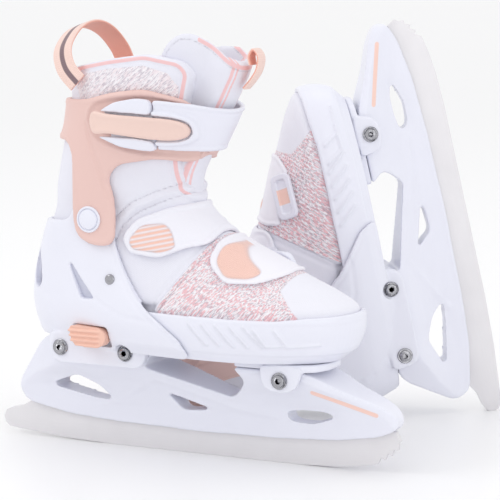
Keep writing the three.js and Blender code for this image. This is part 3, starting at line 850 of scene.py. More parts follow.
@dataclass
class Ride:
    """What a piece moves with.

    Attributes:
        body: the body it rides on, when there is no second body.
        other: a second body for a piece across a joint; such a piece is baked in place, on no body.
        start: a point in skate coordinates near the joint; not used.
        end: a second point near the joint; not used.
    """

    body: str
    other: Optional[str] = None
    start: tuple[float, float, float] = (0, 0, 0)
    end: tuple[float, float, float] = (0, 0, 0)


@dataclass
class Piece:
    """A finished mesh with all that is needed to place it on both skates."""

    name: str
    mesh: bpy.types.Mesh
    finish: object
    slot: str
    ride: Ride
    nodes: tuple[str, ...] = ()
    marks: dict[str, Callable[[np.ndarray], np.ndarray]] = field(default_factory=dict)
    padding: Optional[float] = None

    def place(self, stand: Stand, palette: Palette) -> bpy.types.Object:
        """Put the piece on one skate.

        Args:
            stand: where that skate stands.
            palette: the finishes in use.

        Returns:
            The placed object.
        """
        mesh = self.mesh.copy()
        mesh.name = stand.body(self.name)
        places = coordinates(mesh)
        layer = mesh.attributes.new("skate", "FLOAT_VECTOR", "POINT")
        layer.data.foreach_set("vector", places.ravel())
        for name in ("panel", "trim", "seam", "accent"):
            if name in self.marks:
                mark(mesh, name, self.marks[name](places))
            elif name not in mesh.attributes:
                mark(mesh, name, np.full(len(places), 99.0 if name == "seam" else -99.0))
        mesh.transform(stand.matrix)
        if stand.side is Side.LEFT:
            mesh.flip_normals()
        mesh.materials.clear()
        mesh.materials.append(palette.of(self.finish))
        piece = bpy.data.objects.new(stand.body(self.name), mesh)
        bpy.context.scene.collection.objects.link(piece)
        if self.nodes:
            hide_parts(*[stand.body(node) for node in self.nodes])
        if self.ride.other:
            stand.body(self.ride.body)
            stand.body(self.ride.other)
            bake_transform(piece)
        else:
            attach(piece, stand.body(self.ride.body))
        return piece


CUFF_PIVOT: Point = (-55, 151)
CUFF_PIVOT_3D = (CUFF_PIVOT[0], 0, CUFF_PIVOT[1])


# ---- runner ------------------------------------------------------------------------------------


@dataclass
class Runner:
    """Blade, holder, sole plate and their bolts.

    Attributes:
        blade_half: half the steel's thickness, mm.
        holder_half: half the holder's width at its top, mm.
        heel_top: height of the holder's heel tower, mm.
        front_top: height of its front tower, mm.
        bolt_radius: radius of a bolt head, mm.
    """

    blade_half: float = 1.8
    holder_half: float = 21.6
    heel_top: float = 72.0
    front_top: float = 62.0
    bolt_radius: float = 5.2
    stripe: tuple[Point, ...] = ((89, 49.4), (128, 37.6))

    def blade(self) -> Piece:
        """The steel runner with rounded tail and toe picks."""
        picks = [(126, 5.5), (128.2, 10), (130.8, 8.4), (132.6, 12.6), (135.2, 11.3), (136.6, 15.6),
                 (139, 14.9), (139.4, 19.2), (141, 21)]
        tail = [(-126, 20), (-134, 18.2), (-139.4, 15.6), (-141, 11.6), (-140.2, 7.6),
                (-137, 4.9), (-130, 3.9),
                (-120, 3.2)]
        outline = tail + [(-95, 1.2), (-60, 0), (75, 0), (100, 1.2), (114, 3), *picks, (138, 26.6),
                          (128, 28.5), (101, 24), (60, 21.3), (5, 20.6), (-60, 21.8), (-112, 26), (-119, 24)]
        stock = prism(outline, -self.blade_half, self.blade_half).bevelled(0.35)
        return Piece("runner_blade", stock.mesh(), STEEL, "steel", Ride("frame"), ("blade",))

    def holder(self) -> Piece:
        """The moulded holder with its towers, bridge and windows."""
        top, front = self.heel_top, self.front_top
        side = softened([
            (-119, 24), (-90, 18.3), (-60, 16.3), (5, 15), (60, 15.9), (101, 18.3), (128, 23), (137, 26.8),
            (141, 31), (140, 37.5), (130, 43.5), (110, 50.5), (95, 57.6), (84, front), (-18, front),
            (-21, top), (-97, top), (-104, 67), (-125, 37.5), (-123.5, 29),
        ], 5)
        half = self.holder_half
        section = [(4.2, 8), (5.2, 20), (6.6, 28), (9.5, 37), (13.5, 45),
                   (18.6, 52), (half, 58), (half, top + 1)]
        section = section + [(-y, z) for y, z in reversed(section)]
        plan = softened([
            (-130, -7), (-104, -15), (-86, -half), (84, -half), (105, -16), (143, -7),
            (143, 7), (105, 16), (84, half), (-86, half), (-104, 15), (-130, 7),
        ], 14)
        windows = [
            softened([(-99, 38), (-78, 46), (-64, 39.5), (-56, 31), (-68, 32)], 3.5),
            softened([(-26, 57), (-18.5, 66.5), (-17, 90), (36, 90), (37, 62), (43.5, 54.5), (42, 50),
                      (32.5, 40.5)], 4),
            softened([(-15, 40), (-5.5, 29.5), (-2, 28.7), (17.5, 30.5)], 1.8),
            softened([(68, 33.5), (79, 35.3), (92, 35.5), (100, 33.2), (84, 28), (70, 29)], 3),
        ]
        slot = [(-150, 0), (150, 0), (150, 31), (128, 29.2), (101, 24.8), (60, 22), (5, 21.3), (-60, 22.5),
                (-112.3, 27), (-119.3, 24.5), (-150, 14)]
        room = self.blade_half + 0.35
        stock = prism(side, -30, 30).keep(prism(section, -135, 148, (1, 2)), prism(plan, 0, 80, (0, 1)))
        stock.cut(prism(slot, -room, room), *[prism(window, -40, 40) for window in windows])
        stock.evened(FINE, 4)

        def relief(places: np.ndarray) -> np.ndarray:
            """A shallow hollow round the windows and a ridge along the bridge."""
            flat = places[:, [0, 2]]
            hollow = np.zeros(len(flat))
            for window in (windows[0], windows[3]):
                hollow = np.maximum(hollow, np.exp(-((inside_distance(flat, window) / 5.5) ** 2)))
            ridge = np.exp(-((line_distance(flat, [(-60, 27), (-20, 49), (34, 33), (60, 30)]) / 2.2) ** 2))
            return 0.5 * ridge - 0.9 * hollow

        return Piece(
            "holder", stock.pushed(relief).mesh(), WHITE_SHELL, "white_shell",
            Ride("frame"), ("blade_holder",),
            {"accent": lambda p: np.where(np.abs(p[:, 1]) > 3,
                                          1.5 - line_distance(p[:, [0, 2]], self.stripe), -9)},
        )

    def sole_plate(self) -> Piece:
        """The plate between front tower and toe shell, with its two lugs."""
        half = self.holder_half
        plan = softened([(37, -half), (60, -half), (64, -26), (80, -26), (92, -20),
                         (97, -9), (97, 9), (92, 20),
                         (80, 26), (64, 26), (60, half), (37, half)], 4)
        lug = softened([(57, 66), (59, 53), (66, 49.5), (76, 49.5), (82, 53), (86, 66)], 4)
        stock = prism(plan, self.front_top + 0.3, 67, (0, 1))
        stock.join(prism(lug, half + 0.5, 26.2), prism(lug, -26.2, -half - 0.5))
        stock.evened(FINE, 3)
        return Piece("sole_plate", stock.mesh(), WHITE_SHELL, "white_shell", Ride("frame"), ("base_plate",))

    def bolt(self, name: str, centre: Point, face: float) -> Piece:
        """A through bolt: on each side a washer ring and a domed head with a hexagon socket."""
        r, f = self.bolt_radius, face + 0.3
        profile = [(0, f - 1.2), (r, f - 1.2), (r + 0.1, f + 0.5), (r - 0.4, f + 1.0), (r - 1.0, f + 0.8),
                   (r - 1.3, f + 0.9), (r - 1.5, f + 1.7), (r - 2.1, f + 2.1), (0, f + 2.1)]
        heads = []
        for side in (-1, 1):
            head = turned(profile, centre, side)
            hexagon = [(centre[0] + 1.9 * math.cos(k * math.pi / 3),
                       centre[1] + 1.9 * math.sin(k * math.pi / 3))
                       for k in range(6)]
            ends = sorted((side * (f + 0.7), side * (f + 4)))
            heads.append(head.cut(prism(hexagon, *ends)))
        shank = turned([(0, -f), (3, -f), (3, f), (0, f)], centre, 1, 20)
        stock = heads[0].join(heads[1], shank)
        stock.body.data.shade_smooth()
        stock.bevelled(0.12)
        return Piece(name, stock.mesh(), CHROME, "bright_metal", Ride("frame"), (name.replace("_head", ""),))

    def pieces(self) -> list[Piece]:
        """All the runner's pieces."""
        return [
            self.blade(), self.holder(), self.sole_plate(), self.bolt("rear_bolt_head", (-82, 66.5), 27.2),
            self.bolt("middle_bolt_head", (-35, 66), 27.2), self.bolt("front_bolt_head", (71, 57), 26.2),
        ]


# ---- hard boot ---------------------------------------------------------------------------------


@dataclass
class HardBoot:
    """Heel shell, toe shell, cuff and their rivets and button.

    Attributes:
        shell_floor: underside of the toe shell, mm.
        heel_floor: underside of the heel shell, mm.
        toe_wall: wall of the toe shell, mm.
        cuff_inner: growth of the form at the cuff's inner face, mm.
        cuff_outer: growth at its outer face, mm.
        rivet: place of the plain rivet on the heel shell.
    """

    shell_floor: float = 67.35
    heel_floor: float = 72.35
    toe_wall: float = 2.6
    cuff_inner: float = 4.1
    cuff_outer: float = 7.1
    rivet: Point = (-40, 114)
    button: tuple[float, float, float, float] = (-56.5, 76.5, 27, 12.5)

    def heel_growth(self, z: float) -> float:
        """How far the heel shell's outside stands off the boot form."""
        return 3.4 + 3 * (1 - smoothstep(z, 92, 132))

    def heel_shell(self) -> Piece:
        """The heel cup with ankle ears, flanges, vents and the button's window."""
        profile = softened([
            (-125, self.shell_floor), (16, self.shell_floor), (12, 79), (-13, 98), (-22, 107), (-32, 121),
            (-39, 136), (-41, 158), (-46, 164), (-62, 164), (-69, 158), (-74, 149), (-125, 146),
        ], 6)
        stock = loft(lambda _, z: self.heel_growth(z), self.shell_floor, 166, 112, 2.6)
        stock = stock.keep(prism(profile, -60, 60))
        toe_room = grown(self.toe_wall + 0.8, 60, 101)
        toe_room.keep(brick((-35, -60, self.heel_floor + 2.7), (60, 60, 110))
                      .join(brick((-19, -60, 60), (60, 60, 110))))
        stock.cut(grown(0.4, self.heel_floor + 2.7, 170), toe_room,
                  brick((-130, -22.15, 55), (-19, 22.15, self.heel_floor)))
        flange = softened([(-91, 76), (-89, 60), (-85, 56.5), (-27, 56.5), (-21.5, 61), (-19, 76)], 4)
        stock.join(prism(flange, 22.2, 27.4), prism(flange, -27.4, -22.2))
        x, z, length, height = self.button
        window = softened([(x - length / 2 - 0.7, z - height / 2 - 0.7),
                           (x + length / 2 + 0.7, z - height / 2 - 0.7),
                           (x + length / 2 + 0.7, z + height / 2 + 0.7),
                           (x - length / 2 - 0.7, z + height / 2 + 0.7)], 3)
        vent = softened([(-75, 126), (-62, 100.5), (-51.5, 101)], 2)
        rear = softened([(-104, 129), (-99, 119), (-97.5, 108), (-101, 102.5), (-106, 105), (-107, 116)], 3)
        ring = 6.3
        for centre in ((-82, 66.5), (-35, 66)):
            for side in (-1, 1):
                stock.cut(turned([(0, 27.3), (ring, 27.3), (ring, 60), (0, 60)], centre, side, 32))
        stock.cut(prism(window, -60, -26), prism(vent, -60, -20), prism(vent, 20, 60), prism(rear, -60, -11),
                  prism(rear, 11, 60))
        stock.evened(FINE, 3)

        def relief(places: np.ndarray) -> np.ndarray:
            """Soft edges: a bead in front, a crease from vent to flange and a raised button field."""
            flat = places[:, [0, 2]]
            edge = [(12, 79), (-13, 98), (-22, 107), (-32, 121), (-39, 136)]
            bead = np.exp(-(((line_distance(flat, edge) - 3.2) / 1.2) ** 2))
            crease = np.exp(-((line_distance(flat, [(-51, 101), (-30, 92), (-8, 90)]) / 1.6) ** 2))
            flank = np.exp(-((line_distance(flat, [(-92, 96), (-84, 80), (-90, 66)]) / 2.6) ** 2))
            outer = np.abs(places[:, 1]) > 20
            return np.where(outer, -0.35 * bead - 0.45 * crease + 0.5 * flank, 0)

        return Piece("heel_cup", stock.pushed(relief).mesh(), WHITE_SHELL, "white_shell", Ride("frame"),
                     ("heel_shell",))

    def vent_floor(self) -> Piece:
        """The recessed floor behind each side vent, a web of the heel shell."""
        outline = softened([(-78, 130), (-63, 97.5), (-47, 98)], 2)
        stock = band(0.5, 2.2, outline, (-60, -18), 90, 136).join(band(0.5, 2.2, outline, (18, 60), 90, 136))
        stock.evened(FINE, 3)
        return Piece("vent_web", stock.mesh(), WEB_SHELL, "white_shell", Ride("frame"))

    def toe_shell(self) -> Piece:
        """The telescoping toe cup with slanted ribs on its sides."""
        floor = self.heel_floor + 3.05
        profile = [(-34, floor), (-18, floor), (-17.5, self.shell_floor), (125, self.shell_floor), (125, 98),
                   (90, 96.6), (72, 95), (25, 95.5), (-14, 96), (-34, 96)]
        stock = grown(self.toe_wall + 0.4, self.shell_floor, 101).cut(grown(0.4, self.shell_floor + 2.4, 110))
        stock.keep(prism(profile, -60, 60)).evened(FINE, 3)

        def relief(places: np.ndarray) -> np.ndarray:
            """A stepped rim, slanted ribs and two chevrons on the outside."""
            flat = places[:, [0, 2]]
            lines = [[(x, 91.5), (x + 11, 79)] for x in range(18, 60, 9)]
            lines += [[(60 + 12 * k, 90), (67 + 12 * k, 79.5), (84 + 12 * k, 80.5)] for k in range(2)]
            ribs = np.zeros(len(flat))
            for line in lines:
                ribs = np.maximum(ribs, np.exp(-((line_distance(flat, line) / 0.9) ** 2)))
            rim = np.clip((places[:, 2] - 92.6) / 0.8, 0, 1)
            groove = np.exp(-(((places[:, 2] - 72.5) / 0.8) ** 2))
            outer = places[:, 2] > self.shell_floor + 1.5
            return np.where(outer & (flat[:, 0] > 17), 1.3 * ribs + 0.3 * rim - 0.3 * groove, 0)

        return Piece("toe_cup", stock.pushed(relief).mesh(), WHITE_SHELL, "white_shell",
                     Ride("toe"), ("toe_shell",))

    def shell_rivet(self) -> Piece:
        """The plain domed rivet on the heel shell."""
        seat = FORM.side(*self.rivet, self.heel_growth(self.rivet[1])) + 0.2
        profile = [(0, seat - 2), (3.2, seat - 2), (3.4, seat + 0.3), (2.9, seat + 0.9), (2.0, seat + 1.3),
                   (1.0, seat + 0.9), (0, seat + 0.8)]
        stock = turned(profile, self.rivet, -1, 32)
        stock.body.data.shade_smooth()
        return Piece("heel_rivet", stock.mesh(), CHROME, "bright_metal", Ride("frame"), ("shell_rivet",))

    def size_button(self) -> Piece:
        """The ribbed press button with a round front end."""
        x, z, length, height = self.button
        low, high, rear, front = z - height / 2, z + height / 2, x - length / 2, x + length / 2
        outline = softened([(rear + 3, low + 1), (front - 4, low), (front, low + 4), (front, high - 3),
                            (front - 4, high), (rear, high + 0.5)], 4)
        stock = prism(outline, -39.4, -30.5).evened(0.6, 3)

        def ribs(places: np.ndarray) -> np.ndarray:
            """Four long ribs across the face."""
            face = np.clip((-places[:, 1] - 38.2) / 0.8, 0, 1)
            fade = np.clip((front - 3 - places[:, 0]) / 3, 0, 1)
            return face * fade * 0.75 * np.sin((places[:, 2] - low) * 2 * math.pi / 3.1)

        return Piece("size_key", stock.pushed(ribs).mesh(), PEACH_BUTTON, "peach_button", Ride("button"),
                     ("size_button",))

    def cuff(self) -> Piece:
        """The hinged cuff: arms, rear band and a forward band that carries the buckle."""
        profile = softened([
            (-115, 201), (-72, 199), (-67.5, 190), (-67.5, 150), (-64, 140), (-55, 135),
            (-41, 134.6), (-37, 140),
            (-38, 164), (-42, 178), (-35, 186), (-10, 190), (9, 187), (16, 198), (19.5, 219),
            (8, 227), (-13, 233.5), (-35, 231), (-55, 226), (-115, 224),
        ], 6)
        stock = loft(lambda _, z: self.cuff_outer, 128, 242, 112, 2.6).cut(grown(self.cuff_inner, 120, 250))
        stock.keep(prism(profile, -70, 70)).evened(FINE, 4)
        panel = softened([(-50, 224), (-55, 213), (-47, 201), (-24, 193.5), (30, 188), (30, 219), (-6, 229),
                          (-30, 228)], 8)

        def relief(places: np.ndarray) -> np.ndarray:
            """A sunk buckle field with a creased rim, and a long crease down the arm."""
            flat = places[:, [0, 2]]
            depth = inside_distance(flat, panel)
            field_sunk = 1.1 * np.clip(depth / 1.6, 0, 1)
            rim = 0.6 * np.exp(-(((depth + 1.1) / 1.1) ** 2))
            arm = 0.8 * np.exp(-((line_distance(flat, [(-55, 211), (-49, 190), (-41.5, 165)]) / 1.5) ** 2))
            edge = 0.4 * np.exp(-((inside_distance(flat, profile) - 2.2) / 1.1) ** 2)
            return np.where(np.abs(places[:, 1]) > 12, rim + edge - field_sunk - arm, 0)

        return Piece("ankle_cuff", stock.pushed(relief).mesh(), PEACH_SHELL, "peach_shell",
                     Ride("cuff"), ("cuff",))

    def pivot_cap(self, name: str, side: float) -> Piece:
        """A hinge rivet with its wide, slightly domed white cap."""
        start = FORM.side(*CUFF_PIVOT, 0.4) + 0.6
        seat = FORM.side(*CUFF_PIVOT, self.cuff_outer) - 0.2
        profile = [(0, start), (4, start), (4, seat), (8.2, seat), (8.4, seat + 0.9), (8.0, seat + 1.5),
                   (7.1, seat + 1.6), (6.9, seat + 0.7), (6.4, seat + 0.7), (6.1, seat + 1.9),
                   (3, seat + 2.5), (0, seat + 2.6)]
        stock = turned(profile, CUFF_PIVOT, side, 48)
        stock.body.data.shade_smooth()
        stock.bevelled(0.2)
        return Piece(name, stock.mesh(), WHITE_SHELL, "white_shell", Ride("frame"),
                     (name.replace("cap", "pivot"),))

    def pieces(self) -> list[Piece]:
        """All the hard boot's pieces."""
        outer, inner = self.pivot_cap("cuff_cap_outer", -1), self.pivot_cap("cuff_cap_inner", 1)
        return [self.heel_shell(), self.vent_floor(), self.toe_shell(), self.shell_rivet(),
                self.size_button(),
                self.cuff(), outer, inner]


# ---- buckle and power strap --------------------------------------------------------------------


@dataclass
class Buckle:
    """Buckle base, lever and power strap.

    Attributes:
        strap_inner: growth of the form at the strap's inner face, mm.
        strap_outer: growth at its outer face, mm.
        nose: x and z of the lever's front end; not used.
        seam: x where the base ends and the strap's own end begins.
    """

    strap_inner: float = 8.2
    strap_outer: float = 11.2
    nose: Point = (12.5, 208.5)
    seam: float = -7.4

    def lever_outline(self, grow: float = 0.0) -> list[Point]:
        """The lever seen from the side: a long capsule with a fanned rear end, grown all round."""
        g = grow
        return softened([
            (-46 - g, 220.5 + g), (-47.5 - g, 212), (-45 - g, 205 - g), (-36, 206.4 - g), (-8, 202.6 - g),
            (5, 201.8 - g), (11.5 + g, 204 - g * 0.7), (13.5 + g, 208.6), (11.5 + g, 213 + g * 0.7),
            (4, 215.4 + g), (-10, 216.6 + g), (-36, 218.2 + g),
        ], 6)

    def base(self) -> Piece:
        """The white base with two leaf-shaped lobes beside the lever."""
        upper = softened([(-41, 219.6), (-30, 225.4), (-16, 228), (self.seam, 227), (self.seam, 217.6),
                          (-20, 218.8)], 3)
        lower = softened([(-43, 204), (-28, 197.6), (-14, 195.4), (self.seam, 195.2), (self.seam, 201.2),
                          (-18, 203.4)], 3)
        floor = softened([(-44, 215), (-30, 223), (self.seam, 226), (self.seam, 197), (-30, 200)], 3)
        stock = band(self.strap_inner - 0.7, 10.3, floor, (-70, -5), 185, 240)
        stock.join(band(9, 14.0, upper, (-70, -5), 185, 240), band(9, 13.6, lower, (-70, -5), 185, 240))
        stock.evened(0.7, 5)
        return Piece("buckle_bed", stock.mesh(), WHITE_SHELL, "white_shell", Ride("cuff"), ("buckle_base",))

    def lever(self) -> Piece:
        """The long capsule lever."""
        outline = self.lever_outline()
        stock = band(11.6, 15.4, outline, (-70, -5), 190, 232).evened(0.7, 5)

        def crown(places: np.ndarray) -> np.ndarray:
            """A raised rim round a gently hollow face."""
            depth = inside_distance(places[:, [0, 2]], outline)
            return 0.4 * np.exp(-((depth - 1.8) / 1.0) ** 2) - 0.3 * np.clip((depth - 3) / 3, 0, 1)

        return Piece("buckle_arm", stock.pushed(crown).mesh(), PEACH_LEVER, "peach_shell", Ride("lever"),
                     ("buckle_lever",))

    def strap(self) -> Piece:
        """The wide strap with a white bezel round the lever's nose."""
        outline = softened([(-19.5, 221), (-6, 227), (14, 224.5), (48, 216), (52, 190),
                            (12, 194.5), (-6, 196),
                            (-19.5, 199)], 3)
        stock = band(self.strap_inner, self.strap_outer, outline, (-70, 70), 180, 240)
        stock.cut(brick((-40, -70, 150), (self.seam + 0.5, 0, 260)))
        bezel = band(10, 14.4, self.lever_outline(3.8), (-70, -5), 185, 240)
        bezel.keep(brick((self.seam + 0.6, -70, 150), (60, 0, 260)))
        bezel.cut(band(9, 30, self.lever_outline(1.0), (-90, 0), 170, 250))
        stock.join(bezel).evened(FINE, 5)

        def edges(places: np.ndarray) -> np.ndarray:
            """A thin welt along the strap's two long edges."""
            depth = inside_distance(places[:, [0, 2]], outline)
            return 0.3 * np.exp(-((depth - 1.6) / 0.8) ** 2) - 0.2 * np.exp(-((depth - 3.4) / 0.8) ** 2)

        return Piece("shin_strap", stock.pushed(edges).mesh(), WHITE_SHELL, "white_shell",
                     Ride("power_strap"),
                     ("power_strap", "buckle_pin"))

    def under_strap(self) -> Piece:
        """The coloured end of the lower layer, which shows below the strap at the shin."""
        outline = softened([(14, 205), (52, 205), (52, 184), (26, 184.5), (14, 190)], 4)
        stock = band(5.9, 7.7, outline, (-21, 40), 170, 225).evened(FINE, 4)
        return Piece("strap_tail", stock.mesh(), PEACH_SHELL, "peach_shell", Ride("cuff"))

    def pieces(self) -> list[Piece]:
        """All the buckle's pieces."""
        return [self.base(), self.lever(), self.strap(), self.under_strap()]


# ---- soft boot ---------------------------------------------------------------------------------


@dataclass
class SoftBoot:
    """Liner with collar, tongue, vamp, straps, rings and loops.

    Attributes:
        wall: padding round the foot, mm.
        collar: growth of the collar's outside, mm.
        floor: underside of the liner, mm.
    """

    wall: float = 6.0
    collar: float = 3.5
    floor: float = 75.6

    def liner(self) -> Piece:
        """The padded liner from sole to collar, in one piece across the cuff's hinge."""
        front = [(-6, self.floor), (-6, 100), (27, 143), (14, 160), (2, 170), (-1, 182), (1, 200), (8, 225),
                 (13, 243)]
        top = [(8, 250), (-14, 254.5), (-40, 251), (-60, 247.5), (-76, 244), (-125, 243), (-125, self.floor)]
        profile = softened(front + top, 4)

        def outside(z: float) -> float:
            """The liner swells into the collar above the heel shell."""
            return self.collar * smoothstep(z, 150, 172) - 0.1

        stock = loft(lambda _, z: outside(z), self.floor, 262, 112, 2.6)
        stock.cut(loft(lambda _, z: -self.wall - 1.2 * smoothstep(z, 200, 235), self.floor + self.wall, 268))
        toe_room = brick((-35, -60, 60), (60, 60, 100)).cut(grown(-2.7, 55, 106))
        stock.keep(prism(profile, -60, 60)).cut(toe_room, brick((-73, -60, 60), (-40, -24.4, 87)))
        stock.evened(SOFT, 10)
        edge = profile

        def relief(places: np.ndarray) -> np.ndarray:
            """A puffed collar, sewn channels and a pinched edge."""
            flat = places[:, [0, 2]]
            depth = inside_distance(flat, edge)
            puff = 1.2 * np.clip(depth / 9, 0, 1) * np.clip((places[:, 2] - 228) / 8, 0, 1)
            pinch = -0.9 * np.exp(-((depth - 4.2) / 1.1) ** 2)
            roll = 1.2 * np.exp(-((line_distance(flat, self.panel_line()) / 2.0) ** 2))
            channel = -0.5 * np.exp(-(((line_distance(flat, self.panel_line()) - 3.6) / 0.9) ** 2))
            return puff + pinch + roll + channel

        def panel(places: np.ndarray) -> np.ndarray:
            """The knit side panel under the collar's rim."""
            outline = [(-68, 237), (-60, 241), (-40, 245), (-14, 247.5), (1, 243),
                       (6, 235), (3, 215), (-60, 215)]
            return np.where(np.abs(places[:, 1]) > 14, inside_distance(places[:, [0, 2]], outline), -9)

        return Piece(
            "liner_collar", stock.pushed(relief).mesh(), WHITE_PADDING, "padding",
            Ride("frame", "cuff", (-55, 0, 147), (-55, 0, 176)), ("liner", "collar"),
            {"panel": panel, "trim": lambda p: 1.1 - np.abs(inside_distance(p[:, [0, 2]], edge) - 2.2)
             - 9 * (p[:, 2] < 166),
             "seam": lambda p: np.abs(line_distance(p[:, [0, 2]], self.panel_line()) - 3.6)}, 0.6,
        )

    def panel_line(self) -> list[Point]:
        """The moulded roll between the ankle panel and the instep."""
        return [(-42, 141), (-38, 150), (-27, 159), (-12, 166), (4, 172)]

    def tongue(self) -> Piece:
        """The padded tongue, rising from the instep and flaring above the collar."""
        profile = softened([(-13, 165), (4, 152), (40, 152), (62, 200), (62, 232), (37, 247), (24, 259),
                            (12, 267),
                            (2, 267), (-8, 258), (-12, 235), (-15, 200)], 7)

        def outside(angle: float, z: float) -> float:
            """Proud in front, and tucked inside the collar at its sides."""
            proud = -0.5 + 4.0 * smoothstep(z, 166, 188)
            return proud + (-7.6 - proud) * smoothstep(angle, 0.38, 0.7)

        stock = loft(outside, 150, 272, 128, 2.6)
        stock = stock.cut(loft(lambda a, z: outside(a, z) - 6.5 + 2 * smoothstep(a, 0.4, 0.7),
                               145, 276, 128, 2.6))
        slope = [(-60, 300), (-60, 272), (-24, 268.5), (24, 256), (60, 250), (60, 300)]
        stock.keep(prism(profile, -60, 60)).cut(prism(slope, -40, 80, (1, 2))).evened(SOFT, 8)

        def relief(places: np.ndarray) -> np.ndarray:
            """Puffed between its bound edges, with two sewn channels down the front."""
            depth = np.maximum(inside_distance(places[:, [0, 2]], profile), 0)
            channels = np.exp(-(((np.abs(places[:, 1]) - 13.5) / 1.1) ** 2)) * (places[:, 0] > 0)
            return 1.0 * np.clip(depth / 9, 0, 1) - 0.8 * channels

        def bound(places: np.ndarray) -> np.ndarray:
            """The coloured binding down the tongue's front edges."""
            depth = inside_distance(places[:, [0, 2]], profile)
            strips = np.abs(np.abs(np.abs(places[:, 1]) - 11.2) - 1.5)
            return np.maximum(np.where(places[:, 0] > -4, 0.8 - strips, -9),
                              np.where(places[:, 0] > 14, 1.1 - np.abs(depth - 1.6), -9))

        return Piece(
            "shin_tongue", stock.pushed(relief).mesh(), WHITE_PADDING, "padding",
            Ride("frame", "cuff", (0, 0, 150), (0, 0, 178)), ("tongue",),
            {"trim": bound, "seam": lambda p: np.abs(inside_distance(p[:, [0, 2]], profile) - 3.4)}, 0.6,
        )

    def vamp(self) -> Piece:
        """The knit vamp, which spans the toe slide."""
        profile = softened([(-8.5, 70.2), (-8.5, 98), (28, 147), (45, 147), (130, 120), (130, 70.2)], 3)
        stock = loft(lambda _, z: 0.3 - 0.5 * (z < 98), 70.2, 156, 112, 2.2).cut(grown(-4.5, 75, 160))
        stock.keep(prism(profile, -60, 60)).evened(1.1, 6)
        edge = [(-8.5, 98), (10, 123), (28, 147)]

        def relief(places: np.ndarray) -> np.ndarray:
            """A bound rear edge and a softly domed toe."""
            line = line_distance(places[:, [0, 2]], edge)
            return 0.6 * np.exp(-(((line - 1.4) / 1.1) ** 2)) - 0.4 * np.exp(-(((line - 3.6) / 1.0) ** 2))

        def knit(places: np.ndarray) -> np.ndarray:
            """Knit everywhere behind the smooth toe cap."""
            flat = places[:, [0, 2]]
            outline = [(-20, 60), (-6.5, 98), (30, 150), (84, 150), (70, 112), (88, 92), (88, 60)]
            return inside_distance(flat, outline)

        return Piece(
            "knit_vamp", stock.pushed(relief).mesh(), KNIT, "knit",
            Ride("frame", "toe", (-9, 0, 100), (26, 0, 100)), ("vamp",),
            {"panel": knit, "seam": lambda p: np.abs(line_distance(p[:, [0, 2]], edge) - 3.4)}, 0.5,
        )

    def strap(self, name: str, node: str, outline: list[Point], patch: list[Point], finish: Ribbed,
              ride: Ride) -> Piece:
        """A hook-and-loop strap over the instep, from its lateral end to its ring."""
        soft = softened(outline, 5)
        stock = band(0.6, 3.9, soft, (-70, 26), 100, 175).evened(0.9, 6)
        inner = softened(patch, 4)

        def relief(places: np.ndarray) -> np.ndarray:
            """A raised welt round the edge, and round the patch."""
            flat = places[:, [0, 2]]
            depth = inside_distance(flat, soft)
            ring = inside_distance(flat, inner)
            lateral = places[:, 1] < 0
            return (0.45 * np.exp(-(((depth - 1.8) / 1.0) ** 2)) - 0.3 * np.exp(-(((depth - 3.8) / 0.9) ** 2))
                    + np.where(lateral, 0.4 * np.clip(ring / 1.2, 0, 1), 0))

        return Piece(name, stock.pushed(relief).mesh(), finish, "padding", ride, (node,),
                     {"panel": lambda p: np.where(p[:, 1] < 2, inside_distance(p[:, [0, 2]], inner), -9)})

    def ring(self, name: str, node: str, centre: Point, turn: float, ride: Ride) -> Piece:
        """A white moulded ring on the medial side with the strap's end drawn through it."""
        x, z = centre
        out = FORM.side(x, z, 0)
        along = Vector((16, FORM.side(x + 8, z) - FORM.side(x - 8, z), 0)).normalized()
        up = Vector((0, FORM.side(x, z + 4) - FORM.side(x, z - 4), 8)).normalized()
        normal = up.cross(along).normalized()
        up = along.cross(normal).normalized() * -1
        basis = Matrix((along, up, normal)).transposed().to_4x4()
        basis = Matrix.Translation((x, out, z)) @ basis @ Matrix.Rotation(turn, 4, "Z")
        frame_outline = softened([(-15.5, -7.5), (15.5, -7.5), (15.5, 7.5), (-15.5, 7.5)], 5)
        hole = softened([(-11.8, -4), (11.8, -4), (11.8, 4), (-11.8, 4)], 3)
        bar = softened([(-11.5, -9), (11.5, -9), (11.5, 4.2), (-11.5, 4.2)], 2)
        stock = prism(frame_outline, 1.5, 4.8, (0, 1)).cut(prism(hole, 0, 8, (0, 1)))
        stock.join(prism(bar, 1.8, 3.4, (0, 1)))
        stock.body.data.transform(basis)
        stock.evened(0.6, 3)
        inverse = np.array(basis.inverted())

        def insert(places: np.ndarray) -> np.ndarray:
            """The coloured insert across the strap's end."""
            own = places @ inverse[:3, :3].T + inverse[:3, 3]
            return np.minimum(5.2 - np.abs(own[:, 0]), 4.4 - np.abs(own[:, 1]))

        return Piece(name, stock.mesh(), WHITE_SHELL, "padding", ride, (node,), {"accent": insert})

